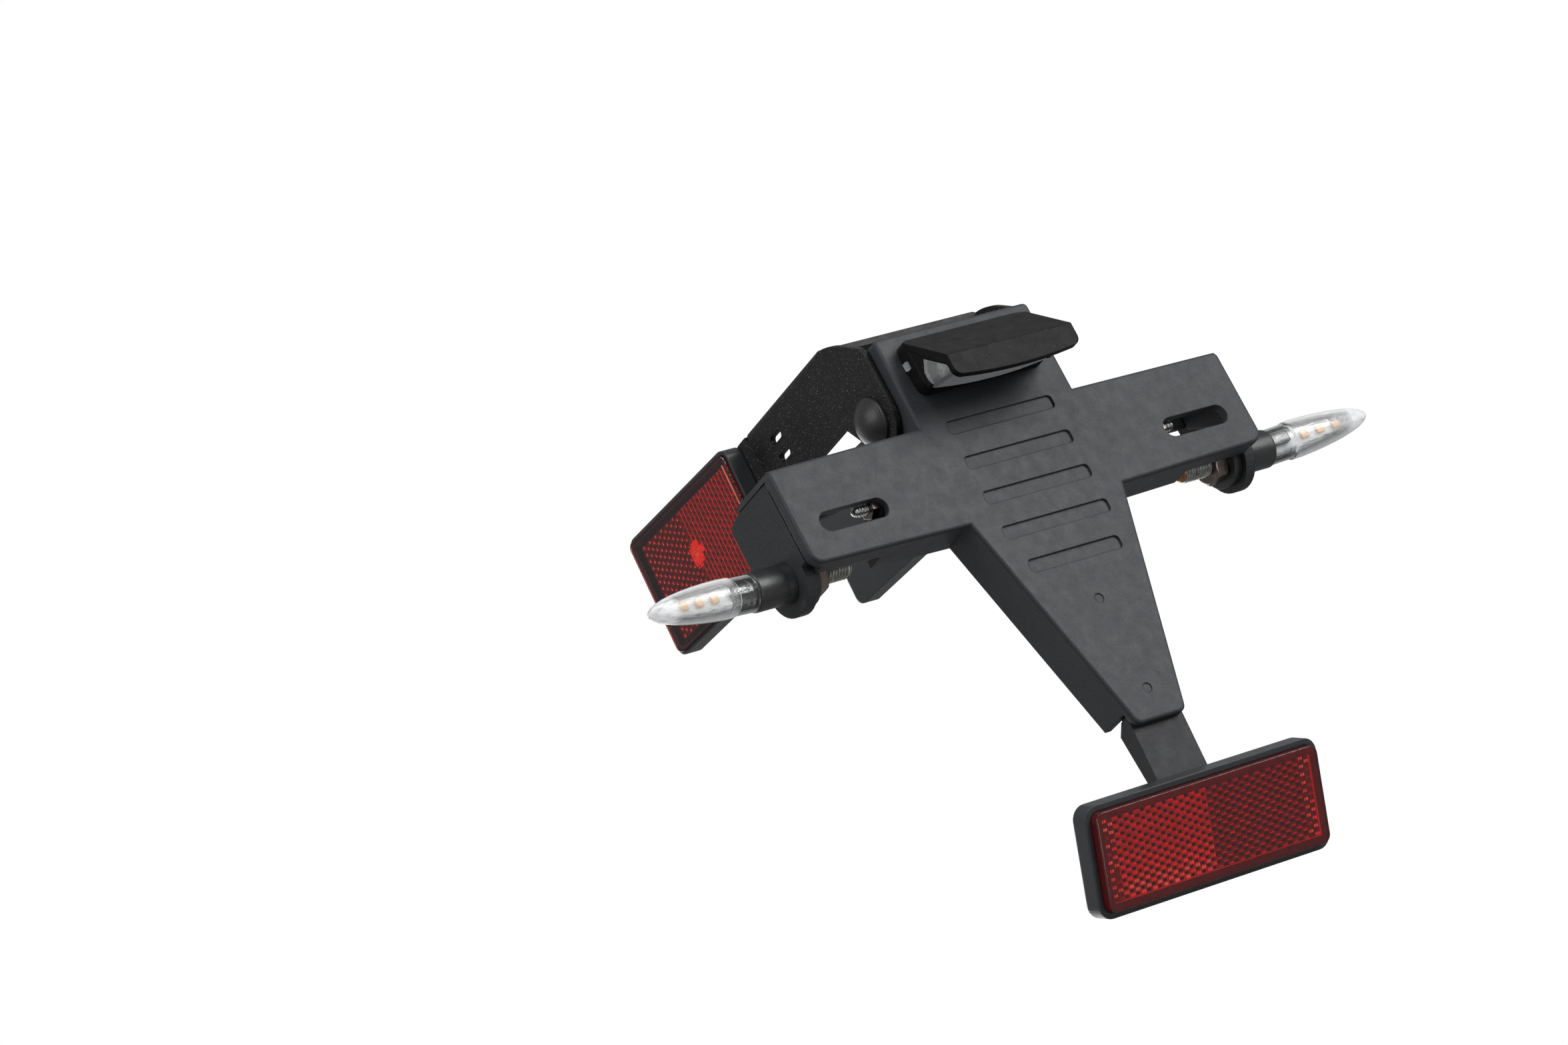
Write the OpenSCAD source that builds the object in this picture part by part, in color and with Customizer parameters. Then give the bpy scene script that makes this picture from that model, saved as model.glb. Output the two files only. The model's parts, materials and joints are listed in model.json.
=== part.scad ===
// Tail tidy: a folded steel bracket under a motorbike's tail carries a moulded
// plate carrier that tilts on two domed bolts, with its lamps and reflectors.
// Lengths are millimetres. The origin is the centre of the deck's top face,
// +X to the right seen from behind the bike, +Y forward, +Z up and square to the deck.

/* [Steel bracket] */
// Thickness of the folded sheet
steel_t = 2.3; // [1.8:0.1:3]
// Length of the deck from its rear edge to its front edge
deck_len = 60; // [54:1:70]
// Outer radius of the fold between deck and gusset
fold_r = 2.8; // [2.6:0.1:5]
// How far the gusset's free top edge lies below the deck's top
edge_drop = 1; // [0:0.1:2]
// Distance from the deck's centre back to the pivot bolts
pivot_back = 40.5; // [38:0.5:46]
// Distance from the deck's top down to the pivot bolts
pivot_drop = 34.2; // [31:0.2:37]
// Radius of the gusset's ear round the pivot bolt
ear_r = 12.7; // [11:0.1:13.5]
// Height of the gusset in front of its notch
gusset_h = 28; // [24:0.5:31]
// Distance from the pivot to the slanted rear edge of the notch
notch_gap = 9.2; // [9:0.1:11]
// Outward step from the gusset to the reflector's flange
joggle = 1; // [0.5:0.1:3]
// Length over which the step runs
joggle_run = 4.4; // [3:0.2:8]
// Length of the reflector's flange
flange_len = 50; // [48:1:56]
// Height of the reflector's flange
flange_h = 33; // [28:1:34]
// Length of a cable-tie slot
tie_len = 7.5; // [5:0.5:9]
// Width of a cable-tie slot
tie_w = 2.8; // [2:0.1:3.5]
// Spacing of the two cable-tie slots
tie_pitch = 6.9; // [6:0.1:8]

/* [Tail mount] */
// Spacing of the tail bolts across the deck
tail_bolt_x = 44; // [40:1:48]
// Spacing of the tail bolts along the deck
tail_bolt_y = 36; // [32:1:40]
// Diameter of the tail bolt holes
tail_bolt_d = 6.6; // [5.5:0.1:7]
// Length of the loom opening across the deck
loom_len = 24; // [18:1:28]
// Width of the loom opening
loom_w = 14; // [10:1:16]

/* [Pivot bolts] */
// Diameter of the pivot bolt's shank
pivot_d = 8; // [6:0.5:8]
// Diameter of the domed head
dome_d = 17.2; // [15:0.1:18]
// Height of the domed head
dome_h = 5; // [4:0.2:6]
// Radial clearance of the pivot bolt in the carrier
pivot_fit = 0.05; // [0.02:0.01:0.1]

/* [Plate carrier] */
// Overall width of the two arms
arm_span = 192; // [180:1:204]
// Height of the arms at the middle
arm_h = 37.2; // [34:0.2:40]
// How much the arm's upper edge falls towards its tip
arm_fall = 0.6; // [0:0.1:2]
// How much the arm's lower edge rises towards its tip
arm_rise = 1.3; // [0:0.1:3]
// Width of the tongue between the gussets
tongue_w = 65.4; // [60:0.2:70]
// Height of the tongue above the arms
tongue_h = 34.2; // [32:0.2:37]
// Length of the tapered tail below the arms
tail_len = 81.6; // [76:0.2:90]
// Width of the tail at its end
tail_end_w = 21; // [19:0.5:26]
// Thickness of the carrier's front wall
face_t = 3; // [2.4:0.2:3.4]
// Thickness of the carrier's side walls
wall_t = 2.4; // [2:0.1:3]
// Depth of the rim along the outer part of the arms
rim_depth = 8; // [7:0.5:10]
// Depth of the side walls at the tongue, the tail and the inner arms
skirt_depth = 16; // [14:0.5:17]
// Half width over which the arm's lower wall keeps its full depth
skirt_reach = 47; // [44:1:50]
// Distance from the carrier's front face to the pivot bolts
face_to_pivot = 17.5; // [17:0.1:20]
// Height of the pivot bolts above the arm's upper edge
pivot_rise = 13; // [12:0.2:15]
// Radius of the carrier's own ear round the pivot bolt
lug_r = 9; // [8:0.5:11]
// Gap between the tongue's side wall and the gusset
side_gap = 0.3; // [0.2:0.1:0.6]

/* [Plate slots and pads] */
// Distance between the centres of the two plate slots
slot_spacing = 146; // [140:1:150]
// End-to-end length of a plate slot
slot_len = 27.5; // [22:0.5:30]
// Width of a plate slot
slot_w = 7.2; // [6:0.2:8]
// Distance of the plate slots below the arm's upper edge
slot_drop = 22.9; // [20:0.1:24]
// Number of shallow pads sunk in the front face
pad_count = 5; // [3:1:5]
// Pitch of the pads
pad_pitch = 13.5; // [12:0.1:14]
// Height of a pad
pad_h = 4.9; // [3:0.1:7]
// Widest half width of a pad
pad_half_w = 22.5; // [18:0.5:24]
// Depth of a pad
pad_depth = 0.8; // [0.4:0.1:1.2]

/* [Indicators] */
// Distance of the indicator's axis behind the carrier's front face
stalk_y = 19.2; // [18:0.2:21]
// Distance of the indicator's axis below the arm's upper edge
stalk_drop = 32.3; // [30:0.1:34]
// Diameter of the rubber stalk
stalk_d = 13.4; // [12:0.2:14]
// Length of the rubber stalk
stalk_len = 14.8; // [12:0.2:20]
// Radius of the bracket's round lobe
lobe_r = 11.7; // [11:0.1:13]
// Thickness of the indicator bracket
tab_t = 3.6; // [3:0.2:4]
// Distance from the front face to the bracket's front edge
tab_reach = 32.6; // [31:0.2:36]
// Length of the lens past the stalk
lens_len = 43.2; // [36:0.2:50]
// Diameter of the threaded stud
stud_d = 8; // [7:0.5:9]
// Length of the stud inside the bracket
stud_len = 21; // [17:0.5:24]
// How far the lens's tip lies behind the indicator's axis
tip_sweep = 5.6; // [3:0.2:7]

/* [Licence lamp] */
// Width of the lamp
lamp_w = 52.8; // [50:0.2:58]
// Height of the lamp's base on the tongue
lamp_h = 19.6; // [18:0.2:22]
// How far the lamp's visor stands out
lamp_depth = 22.6; // [20:0.2:25]
// Height of the visor's front panel
panel_h = 9.4; // [8:0.2:11]
// Distance of the lamp's lower edge above the arm's upper edge
lamp_rise = 10.4; // [10:0.2:12]

/* [Rear reflector] */
// Width of the rear reflector's lens
rear_lens_w = 94.6; // [86:0.2:98]
// Height of the rear reflector's lens
rear_lens_h = 33; // [30:0.2:36]
// Width of the frame around the lens
frame_rim = 2.2; // [1.8:0.1:3]
// Depth of the frame
frame_t = 6.3; // [5.5:0.1:7]
// How far the lens stands out of the frame
lens_proud = 3.2; // [2:0.1:4]
// Backward lean of the rear reflector from the carrier's face, degrees
rear_lean = 30.4; // [26:0.2:34]
// Distance of the lens's centre below the arm's upper edge
rear_drop = 159; // [156:0.5:164]
// Distance of the lens's centre behind the front face
rear_y = 3.5; // [2:0.1:5]
// Width of the reflector's stem
stem_w = 21.6; // [19:0.2:22]
// Depth of the reflector's stem
stem_t = 7; // [6:0.2:8]

/* [Side reflectors] */
// Length of a side reflector's lens
side_lens_w = 73.4; // [68:0.2:80]
// Height of a side reflector's lens
side_lens_h = 43.4; // [40:0.2:48]
// Thickness of a side reflector's case
case_t = 6.4; // [5:0.1:8]
// How far the side lens stands out of its case
side_proud = 1.4; // [1:0.1:2]
// Forward rise of the side reflectors, degrees
side_rise = 3.2; // [0:0.2:6]
// Distance of the side reflector's centre in front of the deck's centre
side_y = 68.7; // [66:0.1:72]
// Distance of the side reflector's centre below the deck's top
side_drop = 21.5; // [18:0.1:24]

/* [Hidden] */

$fn = 48;
gap = 0.3;
eps = 0.02;
steel_black = [0.10, 0.10, 0.105];
moulded_grey = [0.27, 0.275, 0.285];
rubber_grey = [0.2, 0.2, 0.21];
clear_grey = [0.9, 0.92, 0.95];
lens_red = [0.7, 0.04, 0.05];
zinc = [0.75, 0.75, 0.76];
dark_nut = [0.22, 0.21, 0.2];
amber = [0.95, 0.6, 0.2];

// Places of the bracket and the carrier
gusset_in = tongue_w / 2 + side_gap;
gusset_out = gusset_in + steel_t;
flange_out = gusset_out + joggle;
face_y = -pivot_back - face_to_pivot;
arm_top_z = -pivot_drop - pivot_rise;
deck_half = deck_len / 2;
arm_half = arm_span / 2;
tail_slope = (tongue_w - tail_end_w) / 2 / tail_len;
tail_lean = atan(tail_slope);

// Points of an arc, from one angle to the other
function arc(cx, cy, r, from, to, steps = 6) =
  [for (i = [0:steps]) let (a = from + (to - from) * i / steps) [cx + r * cos(a), cy + r * sin(a)]];
function flip(points) = [for (i = [len(points) - 1:-1:0]) [-points[i][0], points[i][1]]];
// Corners of a rounded rectangle about its centre
function rounded(w, h, r) = concat(
  arc(w / 2 - r, h / 2 - r, r, 0, 90), arc(-w / 2 + r, h / 2 - r, r, 90, 180),
  arc(-w / 2 + r, -h / 2 + r, r, 180, 270), arc(w / 2 - r, -h / 2 + r, r, 270, 360));

// A flat outline in X and Z, given depth along Y
module on_face(y0, y1) {
  translate([0, y1, 0]) rotate([90, 0, 0]) linear_extrude(y1 - y0) children();
}
// A flat outline in Y and Z, given depth along X
module on_side(x0, x1) {
  translate([x0, 0, 0]) rotate([90, 0, 90]) linear_extrude(x1 - x0) children();
}
// A round bar along X, or along Y
module bar_x(x0, x1, r) {
  translate([x0, 0, 0]) rotate([0, 90, 0]) cylinder(h = x1 - x0, r = r);
}
module bar_y(y0, y1, r) {
  translate([0, y0, 0]) rotate([-90, 0, 0]) cylinder(h = y1 - y0, r = r);
}
// A hexagon nut or head along X with a round hole
module hex_x(x0, x1, flats, hole) {
  difference() {
    translate([x0, 0, 0]) rotate([0, 90, 0]) cylinder(h = x1 - x0, d = flats / cos(30), $fn = 6);
    bar_x(x0 - 1, x1 + 1, hole / 2);
  }
}
// The left piece is the right piece mirrored
module side(hand) {
  if (hand > 0) children();
  else mirror([1, 0, 0]) children();
}
module both() {
  children();
  mirror([1, 0, 0]) children();
}
// Carrier frame: front face at y = 0, arm's upper edge at z = 0
module carrier() {
  translate([0, face_y, arm_top_z]) children();
}
module at_pivot() {
  translate([0, -pivot_back, -pivot_drop]) children();
}

// Steel bracket

// Side outline of a gusset with its reflector flange, in Y and Z
notch_top = -gusset_h;
notch_lean = 32.5;
notch_foot = -pivot_drop - ear_r;
notch_foot_y = -pivot_back + (notch_gap - ear_r * sin(notch_lean)) / cos(notch_lean);
notch_corner_y = notch_foot_y + (notch_top - notch_foot) * tan(notch_lean);
fold_y = deck_half - 5;
flange_y = fold_y + joggle_run;
bend_shift = steel_t * tan(atan(joggle / joggle_run) / 2);
flange_low = notch_top - 7;
rear_edge_y = -pivot_back - ear_r;
// The gusset's top edge bends down in a wide arc and meets the rear edge in a small one
top_slope = 35;
top_r = 25;
rear_r = 5;
slope_y = 4.3 - pivot_back;
rear_arc_y = rear_edge_y + rear_r;
rear_arc_z = -edge_drop - (slope_y - rear_arc_y) * tan(top_slope) - rear_r / cos(top_slope);
relief = 0.8;
module gusset_outline() {
  polygon(concat(
    [[fold_y, -edge_drop]],
    arc(slope_y + top_r * tan(top_slope / 2), -edge_drop - top_r, top_r, 90, 90 + top_slope, 8),
    arc(rear_arc_y, rear_arc_z, rear_r, 90 + top_slope, 180),
    arc(-pivot_back, -pivot_drop, ear_r, 180, 270, 12),
    [[notch_foot_y, notch_foot], [notch_corner_y, notch_top], [fold_y, notch_top]],
    arc(flange_y + flange_len - 8, flange_low + 8, 8, 270, 360),
    arc(flange_y + flange_len - 8, flange_low + flange_h - 8, 8, 0, 90),
    [[flange_y + 3, flange_low + flange_h]]));
}
// Plan of the folded sheet: gusset, joggle and flange, in X and Y
module gusset_plan() {
  far = flange_y + flange_len + 1;
  polygon([
    [gusset_in, -80], [gusset_out, -80], [gusset_out, fold_y], [flange_out, flange_y],
    [flange_out, far], [flange_out - steel_t, far], [flange_out - steel_t, flange_y + bend_shift],
    [gusset_in, fold_y + bend_shift]]);
}
module tie_slot() {
  on_side(gusset_in - 1, gusset_out + 1)
    polygon(rounded(tie_len, tie_w, tie_w / 2 - 0.05));
}
tie_y = 10.3;
tie_z = -13.6;
side_stud_d = 5;
side_stud_len = 8;
side_nut_t = 4.6;
module gusset() {
  difference() {
    intersection() {
      union() {
        translate([0, 0, -70]) linear_extrude(70 - fold_r) gusset_plan();
        intersection() {
          translate([0, 0, -70]) linear_extrude(70) gusset_plan();
          translate([0, fold_y + relief, -70]) cube([flange_out + 1, flange_len + 20, 70]);
        }
        translate([gusset_in, -80, -2 * fold_r]) cube([steel_t, 80 - deck_half - relief, 2 * fold_r]);
      }
      on_side(gusset_in - 1, flange_out + 1) gusset_outline();
    }
    at_pivot() bar_x(gusset_in - 1, gusset_out + 1, pivot_d / 2 + 0.1);
    for (k = [-1, 1])
      translate([0, tie_y, tie_z + k * tie_pitch / 2]) tie_slot();
    translate([0, side_y, -side_drop]) bar_x(gusset_in - 1, flange_out + 1, side_stud_d / 2 + 0.25);
  }
}
// The deck with its two folds
module deck_section() {
  difference() {
    union() {
      polygon([
        [-gusset_out + fold_r, 0], [gusset_out - fold_r, 0],
        [gusset_out - fold_r, -steel_t], [-gusset_out + fold_r, -steel_t]]);
      for (k = [-1, 1])
        translate([k * (gusset_out - fold_r), -fold_r]) circle(r = fold_r);
    }
    for (k = [-1, 1])
      translate([k * (gusset_out - fold_r), -fold_r]) circle(r = fold_r - steel_t);
    translate([-gusset_out, -3 * fold_r]) square([2 * gusset_out, 2 * fold_r]);
    translate([-gusset_out + fold_r, -fold_r - eps])
      square([2 * (gusset_out - fold_r), fold_r - steel_t + eps]);
  }
}
module tail_bracket() {
  color(steel_black) difference() {
    union() {
      both() gusset();
      on_face(-deck_half, fold_y) deck_section();
    }
    for (x = [-1, 1], y = [-1, 1])
      translate([x * tail_bolt_x / 2, y * tail_bolt_y / 2, -2 * steel_t])
        cylinder(h = 3 * steel_t, d = tail_bolt_d);
    translate([0, 0, -2 * steel_t])
      linear_extrude(3 * steel_t) polygon(rounded(loom_len, loom_w, loom_w / 2 - 0.1));
  }
}

// Pivot bolts

lug_t = 5;
lug_in = tongue_w / 2 - lug_t;
pivot_washer_t = 1.4;
pivot_nut_t = 6.4;
module dome_profile() {
  rise = dome_h - 1.2;
  r = dome_d / 2 - 0.4;
  ball = (r * r + rise * rise) / (2 * rise);
  sweep = asin(r / ball);
  polygon(concat(
    [[0, 0], [dome_d / 2, 0], [dome_d / 2, 0.9], [r, 1.2]],
    arc(0, dome_h - ball, ball, 90 - sweep * 0.92, 90, 8)));
}
module pivot_bolt() {
  at_pivot() {
    translate([gusset_out, 0, 0]) rotate([0, 90, 0]) rotate_extrude() dome_profile();
    bar_x(lug_in - pivot_washer_t - pivot_nut_t - 3, gusset_out + 0.5, pivot_d / 2);
  }
}
module pivot_bolts() {
  color(rubber_grey) both() pivot_bolt();
}
module pivot_washers() {
  color(zinc) both() at_pivot() difference() {
    bar_x(lug_in - pivot_washer_t, lug_in, pivot_d);
    bar_x(lug_in - 5, lug_in + 5, pivot_d / 2 + 0.1);
  }
}
module pivot_nuts() {
  color(zinc) both() at_pivot()
    hex_x(lug_in - pivot_washer_t - pivot_nut_t, lug_in - pivot_washer_t, pivot_d * 1.625, pivot_d + 0.1);
}

// Side reflectors: a black case with a red lens, held by its own stud and a nut

case_rim = 1.1;
case_back = flange_out;
lens_seat = case_back + case_t - 3.4;
lens_front = case_back + case_t + side_proud;
module at_side_reflector() {
  translate([0, side_y, -side_drop]) rotate([side_rise, 0, 0]) children();
}
module side_case(hand) {
  color(steel_black) side(hand) difference() {
    at_side_reflector() union() {
      difference() {
        on_side(case_back, case_back + case_t)
          polygon(rounded(side_lens_w + 2 * case_rim, side_lens_h + 2 * case_rim, 4));
        on_side(lens_seat, lens_front)
          polygon(rounded(side_lens_w - 2 * case_rim, side_lens_h - 2 * case_rim, 2));
      }
      bar_x(flange_out - steel_t - side_stud_len, case_back + 1, side_stud_d / 2);
    }
  }
}
module side_lens(hand) {
  color(lens_red) side(hand) at_side_reflector() {
    on_side(lens_seat, case_back + case_t)
      polygon(rounded(side_lens_w - 2 * case_rim - 0.2, side_lens_h - 2 * case_rim - 0.2, 1.9));
    on_side(case_back + case_t, lens_front)
      polygon(rounded(side_lens_w, side_lens_h, 3));
  }
}
module side_nuts() {
  color(dark_nut) both() at_side_reflector()
    hex_x(flange_out - steel_t - side_nut_t, flange_out - steel_t, side_stud_d * 1.6, side_stud_d + 0.1);
}

// Plate carrier: one moulding with a cross-shaped face, side walls and ribs

// Half width of the tapered tail at a height, for an outline set in by d
function tail_x(z, d) = tongue_w / 2 - (-arm_h - z) * tail_slope - d / cos(tail_lean);
// Rounded corner of radius r between two edges that are both set in by d
function corner(x, z, r, d, from, to) = let (m = max(r, d + 0.1))
  arc(x - m, z + (from > 0 ? -m : m), max(r - d, 0.1), from, to, 5);
// Right halves of the three convex shapes that make the cross, each set in by d
function tongue_half(d) = concat(corner(tongue_w / 2, tongue_h, 1.8, d, 90, 0), [[tongue_w / 2 - d, -arm_h / 2]]);
function arm_half_shape(d) = concat([[tongue_w / 2, -d]],
  corner(arm_half, -arm_fall, 2, d, 88, 0), corner(arm_half, -arm_h + arm_rise, 4.5, d, 0, -88),
  [[tongue_w / 2, -arm_h + d]]);
function tail_half(d) = let (m = max(3, d + 0.1)) concat([[tail_x(-arm_h / 2, d), -arm_h / 2]],
  arc(tail_x(-arm_h - tail_len, 0) - m + 0.5, -arm_h - tail_len + m, max(3 - d, 0.1), -12, -90, 5));
module cross_shape(k, d) {
  half = k == 0 ? tongue_half(d) : k == 1 ? arm_half_shape(d) : tail_half(d);
  polygon(concat(half, flip(half)));
}
module cross(d) {
  for (k = [0:2]) cross_shape(k, d);
}
// The face's front edge is round: thin slices set in less and less, joined shape by shape
edge_r = 1.1;
module rounded_face() {
  for (k = [0:2])
    hull()
      for (a = [0:22.5:90])
        on_face(edge_r * (1 - sin(a)), edge_r) cross_shape(k, edge_r * (1 - cos(a)));
  on_face(edge_r, face_t) cross(0);
}
module slots(grow) {
  for (k = [-1, 1])
    translate([k * slot_spacing / 2, -slot_drop]) {
      square([slot_len - slot_w, slot_w + 2 * grow], center = true);
      for (e = [-1, 1])
        translate([e * (slot_len - slot_w) / 2, 0]) circle(d = slot_w + 2 * grow);
    }
}
// Shallow pads that repeat down the face and narrow with the tail
module pads() {
  for (k = [0:pad_count - 1]) {
    z = -2.7 - k * pad_pitch;
    half = min(pad_half_w, tail_x(min(z - pad_h / 2, -arm_h), 0) - 7.3);
    translate([0, z]) polygon(rounded(2 * half, pad_h, 1.6));
  }
}
web_x = slot_spacing / 2 - slot_len / 2 - 2.2;
web_t = 2.4;
module wall_ring() {
  difference() {
    cross(0);
    cross(wall_t);
  }
}
// Lower arm wall that runs out from full depth to the rim's depth
module deep_zone() {
  translate([0, 0, -arm_h - 1]) linear_extrude(arm_h * 0.6)
    polygon([
      [-skirt_reach - 4, -1], [skirt_reach + 4, -1], [skirt_reach + 4, rim_depth - 0.5],
      [skirt_reach, skirt_depth], [-skirt_reach, skirt_depth], [-skirt_reach - 4, rim_depth - 0.5]]);
}
tail_cut = arm_h + tail_len - 5.4;
module side_walls() {
  on_face(edge_r, rim_depth) wall_ring();
  intersection() {
    on_face(edge_r, skirt_depth) wall_ring();
    deep_zone();
  }
  intersection() {
    on_face(edge_r, skirt_depth) wall_ring();
    translate([-tongue_w, 0, -tail_cut]) cube([2 * tongue_w, 50, tail_cut - arm_h + 3]);
  }
  intersection() {
    on_face(edge_r, skirt_depth - 3) wall_ring();
    translate([-tongue_w, 0, 0]) cube([2 * tongue_w, 50, tongue_h + 1]);
  }
}
// Ear on the inside of the tongue's wall, round the pivot bore
module lug() {
  on_side(lug_in, tongue_w / 2) {
    translate([face_to_pivot, pivot_rise]) circle(r = lug_r);
    polygon([
      [face_t - 1, pivot_rise - lug_r], [face_to_pivot, pivot_rise - lug_r],
      [face_to_pivot, pivot_rise + lug_r], [face_t - 1, pivot_rise + lug_r + 4]]);
  }
}
// Ribs behind the face: two across the tail, one down its middle, and the arm webs
rib_t = 1.8;
rib_depth = skirt_depth - 5;
rib_rows = [-60, -84];
module ribs() {
  for (z = rib_rows)
    translate([-tail_x(z, 1), face_t - 1, z]) cube([2 * tail_x(z, 1), rib_depth - face_t + 1, rib_t]);
  translate([-rib_t / 2, face_t - 1, -84]) cube([rib_t, rib_depth - face_t + 1, 24]);
  translate([-tongue_w / 2 + 1, face_t - 1, -arm_h + 4])
    cube([tongue_w - 2, rib_depth - face_t + 1, rib_t]);
  both() {
    translate([web_x - web_t, face_t - 1, -arm_h + 1.5]) cube([web_t, rim_depth + 4, arm_h - 2.5]);
    translate([tongue_w / 2 + 4.6, face_t - 1, -arm_h + 1]) cube([rib_t, rim_depth - face_t + 1, arm_h - 2]);
  }
}
// End wall of an arm: a shallow ear whose pocket takes the indicator bracket
ear_len = 25;
ear_low = 16;
lip_h = 2.5;
tab_out = arm_half - 0.5;
tab_in = tab_out - tab_t;
ear_t = 2.2;
module arm_ear() {
  on_side(tab_in - ear_t, tab_in)
    polygon([[1, -0.6], [ear_len - 1, -0.6], [ear_len, -2], [ear_len, -ear_low], [1, -ear_low - 12]]);
  on_side(tab_in - ear_t, tab_out)
    polygon([[1, -lip_h], [ear_len, -lip_h], [ear_len, -1.6], [ear_len - 1, -0.6], [1, -0.6]]);
}
lamp_hole_x = 16;
stem_hole_z = -arm_h - tail_len + 13;
screw_d = 4;
web_screw_y = face_t + 3.6;
web_screw_z = -slot_drop + 3.2;
mark_rows = [-73.7, -107.8];
module plate_carrier() {
  color(moulded_grey) carrier() difference() {
    union() {
      rounded_face();
      side_walls();
      ribs();
      both() {
        lug();
        arm_ear();
      }
      translate([0, 0, stem_hole_z]) bar_y(face_t - 1, face_t + 2, 5);
    }
    on_face(-1, face_t + 1) slots(0);
    on_face(-1, pad_depth) pads();
    both() {
      translate([0, face_to_pivot, pivot_rise]) bar_x(lug_in - 1, tongue_w / 2 + 1, pivot_d / 2 + pivot_fit);
      translate([lamp_hole_x, 0, lamp_mid]) bar_y(-1, face_t + 1, screw_d / 2 + 0.25);
      translate([0, web_screw_y, web_screw_z]) bar_x(web_x - 4, web_x + 1, screw_d / 2 + 0.25);
    }
    translate([0, 0, lamp_mid]) bar_y(-1, face_t + 1, 4);
    translate([0, 0, stem_hole_z]) bar_y(0.8, face_t + 3, screw_d / 2 - 0.3);
    for (z = mark_rows)
      translate([0, 0, z]) bar_y(-1, 0.35, 1.7);
    translate([-tongue_w, face_t, -tail_cut - 30]) cube([2 * tongue_w, 50, 30]);
    both() pocket();
  }
}
// Room for the indicator bracket in the arm's rim and ear
module pocket() {
  translate([tab_in, tab_rear - 0.6, -arm_h - 2]) cube([tab_t + 2, 60, arm_h + 2 - lip_h - 0.1]);
}

// Indicator bracket: a tab with a round lobe, and a foot that reaches in to the arm's web

tab_rear = face_t + 1.6;
tab_top = -lip_h - gap;
module tab_outline() {
  polygon(concat(
    [[tab_rear, -stalk_drop], [tab_rear, tab_top], [ear_len + 1, tab_top],
     [tab_reach - 1, tab_top - 1.2], [tab_reach, tab_top - 2.4], [tab_reach, -17.6]],
    arc(stalk_y, -stalk_drop, lobe_r, 20, -178, 20)));
}
foot_y = ear_len + 1.2;
module indicator_bracket(hand) {
  color(moulded_grey) carrier() side(hand) difference() {
    union() {
      on_side(tab_in, tab_out) tab_outline();
      on_side(tab_out, tab_out + 0.5) intersection() {
        tab_outline();
        translate([0, -60]) square([60, 60 + tab_top - 3]);
      }
      foot();
    }
    translate([0, stalk_y, -stalk_drop]) bar_x(tab_in - 5, tab_out + 5, stud_d / 2 + 0.1);
    translate([0, web_screw_y, web_screw_z]) bar_x(web_x, web_x + 5, screw_d / 2 + 0.25);
  }
}
// The foot runs in front of the rim and turns back to lie on the web
foot_low = -14;
foot_x = tab_in - ear_t - gap;
foot_t = 2.6;
module foot() {
  translate([0, 0, foot_low]) linear_extrude(-foot_low - lip_h - 1.5)
    polygon([
      [tab_in + 0.5, foot_y], [tab_in + 0.5, foot_y + foot_t], [foot_x - 6, foot_y + foot_t],
      [web_x + foot_t, rim_depth + 4 + foot_t], [web_x, rim_depth + 4], [web_x, web_screw_y + 3],
      [web_x + foot_t, web_screw_y + 3], [web_x + foot_t, rim_depth + 2.6], [foot_x - 5.4, foot_y]]);
  on_side(web_x, web_x + foot_t)
    polygon([
      [web_screw_y - 3, web_screw_z - 3.6], [web_screw_y + 5, web_screw_z - 3.6],
      [web_screw_y + 5, foot_low + 4], [web_screw_y - 3, foot_low + 4]]);
}
bracket_nut_t = 3;
screw_end = foot_t + bracket_nut_t + 5.8;
screw_head_t = 2.4;
module bracket_screws() {
  color(zinc) carrier() both() translate([web_x, web_screw_y, web_screw_z]) {
    bar_x(-web_t, screw_end, screw_d / 2);
    translate([-web_t - screw_head_t, 0, 0]) rotate([0, 90, 0])
      cylinder(h = screw_head_t, r1 = screw_d * 0.7, r2 = screw_d * 0.9);
  }
}
module bracket_nuts() {
  color(dark_nut) carrier() both() translate([0, web_screw_y, web_screw_z])
    hex_x(web_x + foot_t, web_x + foot_t + bracket_nut_t, screw_d * 1.75, screw_d + 0.1);
}

// Indicators

washer_t = 3.2;
nut_t = 5.5;
stalk_out = tab_out + 0.5 + stalk_len;
module at_stalk() {
  carrier() translate([0, stalk_y, -stalk_drop]) children();
}
module stalk(hand) {
  color(rubber_grey) side(hand) at_stalk()
    translate([tab_out + 0.5, 0, 0]) rotate([0, 90, 0]) rotate_extrude()
      difference() {
        polygon(concat(
          [[0, 0], [stalk_d / 2 + 0.3, 0], [stalk_d / 2, 3]],
          arc(stalk_d / 2 - 1, stalk_len - 1, 1, 0, 90, 4), [[0, stalk_len]]));
        square([stud_d / 2 + 0.05, 6]);
      }
}
module stud(hand) {
  color(zinc) side(hand) at_stalk() difference() {
    bar_x(tab_in - stud_len, tab_out + 6.3, stud_d / 2);
    bar_x(tab_in - stud_len - 1, tab_in - stud_len + 6, stud_d / 4);
  }
}
module stalk_washer(hand) {
  color(rubber_grey) side(hand) at_stalk() difference() {
    bar_x(tab_in - washer_t, tab_in, lobe_r - 2.2);
    bar_x(tab_in - washer_t - 1, tab_in + 1, stud_d / 2 + 0.1);
  }
}
module stalk_nut(hand) {
  color(dark_nut) side(hand) at_stalk()
    hex_x(tab_in - washer_t - nut_t, tab_in - washer_t, stud_d * 1.625, stud_d + 0.1);
}

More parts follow.
